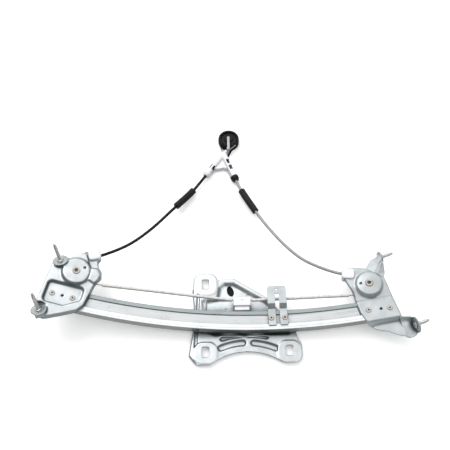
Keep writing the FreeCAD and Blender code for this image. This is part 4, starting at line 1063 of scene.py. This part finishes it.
def pad(name, frame_at, centre, way, reach, thickness):
    """A round pad with rolled edges, square to a direction."""
    along = frame_at.to_3x3() @ way
    middle = frame_at @ (Vector(centre) * MM)
    profile = (*PAD_PROFILE, (1, thickness - 0.5), (0.95, thickness), (0.3, thickness))
    rings = [circle_points(middle - along * depth * MM, along, reach * share * MM, PAD_POINTS)
             for share, depth in profile]
    return ring_mesh(name, rings, "zinc_folds")


def curved_arm(name, frame_at, rows, thickness, smooth=2):
    """A sheet through rows of points, smoothed between them."""
    count = len(rows[0])
    points = [frame_at @ (Vector(point) * MM) for row in rows for point in row]
    quads = []
    for row in range(len(rows) - 1):
        for column in range(count - 1):
            first = row * count + column
            quads.append((first, first + 1, first + count + 1, first + count))
    data = bpy.data.meshes.new(name)
    data.from_pydata([tuple(point) for point in points], [], quads)
    data.polygons.foreach_set("use_smooth", [smooth > 0] * len(data.polygons))
    item = new_item(name, data, "zinc_folds")
    if smooth:
        rounding = item.modifiers.new("smoothing", "SUBSURF")
        rounding.levels = rounding.render_levels = smooth
    wall = item.modifiers.new("thickness", "SOLIDIFY")
    wall.thickness = thickness * MM
    wall.offset = 0
    return item


UPPER_FIN = [
    [(-3, 67, 5), (10, 58, 6), (15, 55, 5.6), (23, 47, 3)],
    [(9, 80, 7.5), (18, 70, 7.5), (21, 66, 6.5), (27, 58, 0.5)],
    [(27.5, 86, 8.6), (28.2, 81, 7.4), (28.8, 78, 5), (29.2, 75.8, -1)],
]
LOWER_ARM = [
    [(30, -19, 1.2), (31, -22, -3), (31, -28, -8.6), (32, -38, -9), (32, -50, -9)],
    [(37, -20, -0.6), (38, -23, -5), (38.5, -30, -9.2), (39, -40, -9.6), (39, -53, -9.4)],
    [(44, -21.5, -0.6), (44.5, -24, -6), (45, -31, -11), (46, -41, -12.5), (47, -52, -10)],
    [(50, -24, 2), (48.8, -25.5, -8), (49, -31, -14), (51.5, -40, -15), (54.5, -47, -9.5)],
]


def right_bracket():
    place = station(RIGHT_STATION)
    pieces = [
        pressed_sheet("right_bracket_pressing", place, right_plan, right_height,
                      ((-46, 44), (-56, 80)), 0.9, 1.6, "zinc_folds"),
        pad("right_upper_pad", place, (27.5, 85.5, 0), RIGHT_STUD_WAY, 10, 2),
        pad("right_lower_pad", place, (53.5, -35.5, -4), RIGHT_STUD_WAY, 13, 2),
        curved_arm("right_upper_fin", place, UPPER_FIN, 1.6, 0),
        curved_arm("right_lower_arm", place, LOWER_ARM, 1.6),
    ]
    for item in pieces:
        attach(item, "frame")
        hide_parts("right_bracket")


right_bracket()


# The two moulded caps

CAP_FOOT = -4
CAP_TOP = 11
CAP_ROUND = 5
CAP_SOFT = 2.6


def conduit_cap(side, arc, middle, angle, half_x, half_y):
    """The moulded cap that the conduit plugs into."""
    place = shifted(station(arc), *middle) @ Matrix.Rotation(math.radians(angle), 4, "Z")
    item = rounded_block(f"{side}_conduit_cap", place, half_x, half_y, CAP_FOOT, CAP_TOP,
                         CAP_ROUND, "white_plastic", CAP_SOFT)
    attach(item, "frame")
    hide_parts(f"{side}_conduit_socket")


# The cable guide: a hollow Y with windows over its springs, and the strap over the drum

GUIDE_FORK = (-51, 331)
GUIDE_ARMS = {"left": (-78.6, 292), "right": (-32.5, 282)}
GUIDE_NECK = (-46.5, 337)
GUIDE_ARM_REACH = 6.1
GUIDE_NECK_REACH = 4.2
GUIDE_LEVEL = -16.1
GUIDE_FLOOR = -21.4
GUIDE_WEB_HEIGHT = 1.5
GUIDE_WEB = [(-53, 330), (-73, 299), (-60, 300), (-51, 302), (-42, 299), (-36.5, 295), (-46, 330)]
# Each window's arm, share of its length, offset, half length and half width
GUIDE_WINDOWS = (("right", 0.38, 2.1, 4.9, 3.6), ("right", 0.64, 1.7, 4.7, 3.6),
                 ("left", 0.76, 3.6, 4.6, 1.8), ("left", 0.76, -3.2, 4.6, 1.7))


def to_window(x, y, side, share, across, half_length, half_width):
    """Signed distance to a window at a share of an arm's length."""
    end = GUIDE_ARMS[side]
    run_x, run_y = end[0] - GUIDE_FORK[0], end[1] - GUIDE_FORK[1]
    length = math.hypot(run_x, run_y)
    along_x, along_y = run_x / length, run_y / length
    from_x, from_y = x - GUIDE_FORK[0], y - GUIDE_FORK[1]
    along = from_x * along_x + from_y * along_y
    beside = from_y * along_x - from_x * along_y
    return to_box(along, beside, (share * length, across), half_length, half_width, 0.8)


def guide_solid(x, y):
    """Signed distance to the guide's outline, without its windows."""
    shape = to_line(x, y, GUIDE_FORK, GUIDE_NECK) - GUIDE_NECK_REACH
    for end in GUIDE_ARMS.values():
        shape = np.minimum(shape, to_line(x, y, GUIDE_FORK, end) - GUIDE_ARM_REACH)
    return np.minimum(shape, to_polygon(x, y, GUIDE_WEB) - 1.5)


def guide_plan(x, y):
    """Signed distance to the guide's plan, with its windows."""
    return without(guide_solid(x, y), *(to_window(x, y, *window) for window in GUIDE_WINDOWS))


def guide_height(x, y):
    """The guide's level: round arms and neck over a flat web, with walls down to its floor."""
    level = np.full(x.shape, GUIDE_LEVEL + GUIDE_WEB_HEIGHT)
    for end in (*GUIDE_ARMS.values(), GUIDE_NECK):
        reach = GUIDE_NECK_REACH if end == GUIDE_NECK else GUIDE_ARM_REACH
        away = to_line(x, y, GUIDE_FORK, end)
        level = np.maximum(level, GUIDE_LEVEL + np.sqrt(np.maximum(reach ** 2 - away ** 2, 0)))
    return toward(level, GUIDE_FLOOR, ease(np.minimum(guide_solid(x, y), 0), -1.2, -0.1))


def guide():
    place = Matrix.Translation(RAIL_LOW)
    body = pressed_sheet("drum_guide_shell", place, guide_plan, guide_height,
                         ((-90, -22), (272, 350)), 0.7, 1.1, "white_plastic")
    strap = rounded_block("drum_guide_strap", shifted(place, -41.6, 351), 2.3, 14.5,
                          -9, -6.8, 1.6, "strap_plastic", 0.5)
    post = rounded_block("drum_guide_post", shifted(place, -42.4, 339), 2.3, 2.6,
                         GUIDE_FLOOR, -7, 1.6, "strap_plastic", 0.5)
    for item in (body, strap, post):
        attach(item, "frame")
        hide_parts("drum_guide")


guide()
conduit_cap("left", LEFT_STATION, (24.6, 79.6), 28, 10, 8.6)
conduit_cap("right", RIGHT_STATION, (-30.8, 63.8), -14, 10.4, 9.2)


# Floor and light

FLOOR_SIZE = 6
FLOOR_DROP = 0.4 * MM
FLOOR_GLOW = 0.25
ROOM_STRENGTH = 1.15
ROOM_LEAN = 0.5
ROOM_RAMP = ((0.3, (0.1, 0.115, 0.115, 1)), (0.8, (1, 1, 1, 1)))


def floor():
    shape = bmesh.new()
    bmesh.ops.create_grid(shape, x_segments=2, y_segments=2, size=FLOOR_SIZE / 2)
    data = bpy.data.meshes.new("floor")
    shape.to_mesh(data)
    shape.free()
    item = bpy.data.objects.new("floor", data)
    item.location = (0, 0, -FLOOR_DROP)
    bpy.context.scene.collection.objects.link(item)
    graph = Graph("floor", (0.95, 0.95, 0.95), 0, 0.7, Emission_Color=(1, 1, 1, 1),
                  Emission_Strength=FLOOR_GLOW)
    item.data.materials.append(graph.material)


def soft_light(name, place, size, power):
    """A rectangular lamp that faces the part."""
    data = bpy.data.lights.new(name, "AREA")
    data.shape = "RECTANGLE"
    data.size, data.size_y = size
    data.energy = power
    item = bpy.data.objects.new(name, data)
    item.location = place
    item.rotation_euler = (-Vector(place)).to_track_quat("-Z", "Y").to_euler()
    bpy.context.scene.collection.objects.link(item)


def surroundings():
    """A bright room, darker towards the horizon on the viewer's side."""
    world = bpy.data.worlds.new("studio")
    world.use_nodes = True
    bpy.context.scene.world = world
    nodes, links = world.node_tree.nodes, world.node_tree.links
    place = nodes.new("ShaderNodeTexCoord")
    parts = nodes.new("ShaderNodeSeparateXYZ")
    ramp = nodes.new("ShaderNodeValToRGB")
    links.new(place.outputs["Generated"], parts.inputs["Vector"])
    lean = nodes.new("ShaderNodeMath")
    lean.operation = "MULTIPLY_ADD"
    links.new(parts.outputs["Y"], lean.inputs[0])
    lean.inputs[1].default_value = ROOM_LEAN
    links.new(parts.outputs["Z"], lean.inputs[2])
    links.new(lean.outputs[0], ramp.inputs["Fac"])
    links.new(ramp.outputs["Color"], nodes["Background"].inputs["Color"])
    nodes["Background"].inputs["Strength"].default_value = ROOM_STRENGTH
    for stop, (position, colour) in zip(ramp.color_ramp.elements, ROOM_RAMP):
        stop.position = position
        stop.color = colour


floor()
surroundings()
bpy.context.scene.view_settings.view_transform = "Standard"
soft_light("key", (-0.9, 0.9, 1.9), (1.6, 1.2), 20)
soft_light("fill", (1.2, -0.9, 1.6), (1.4, 1.4), 8)
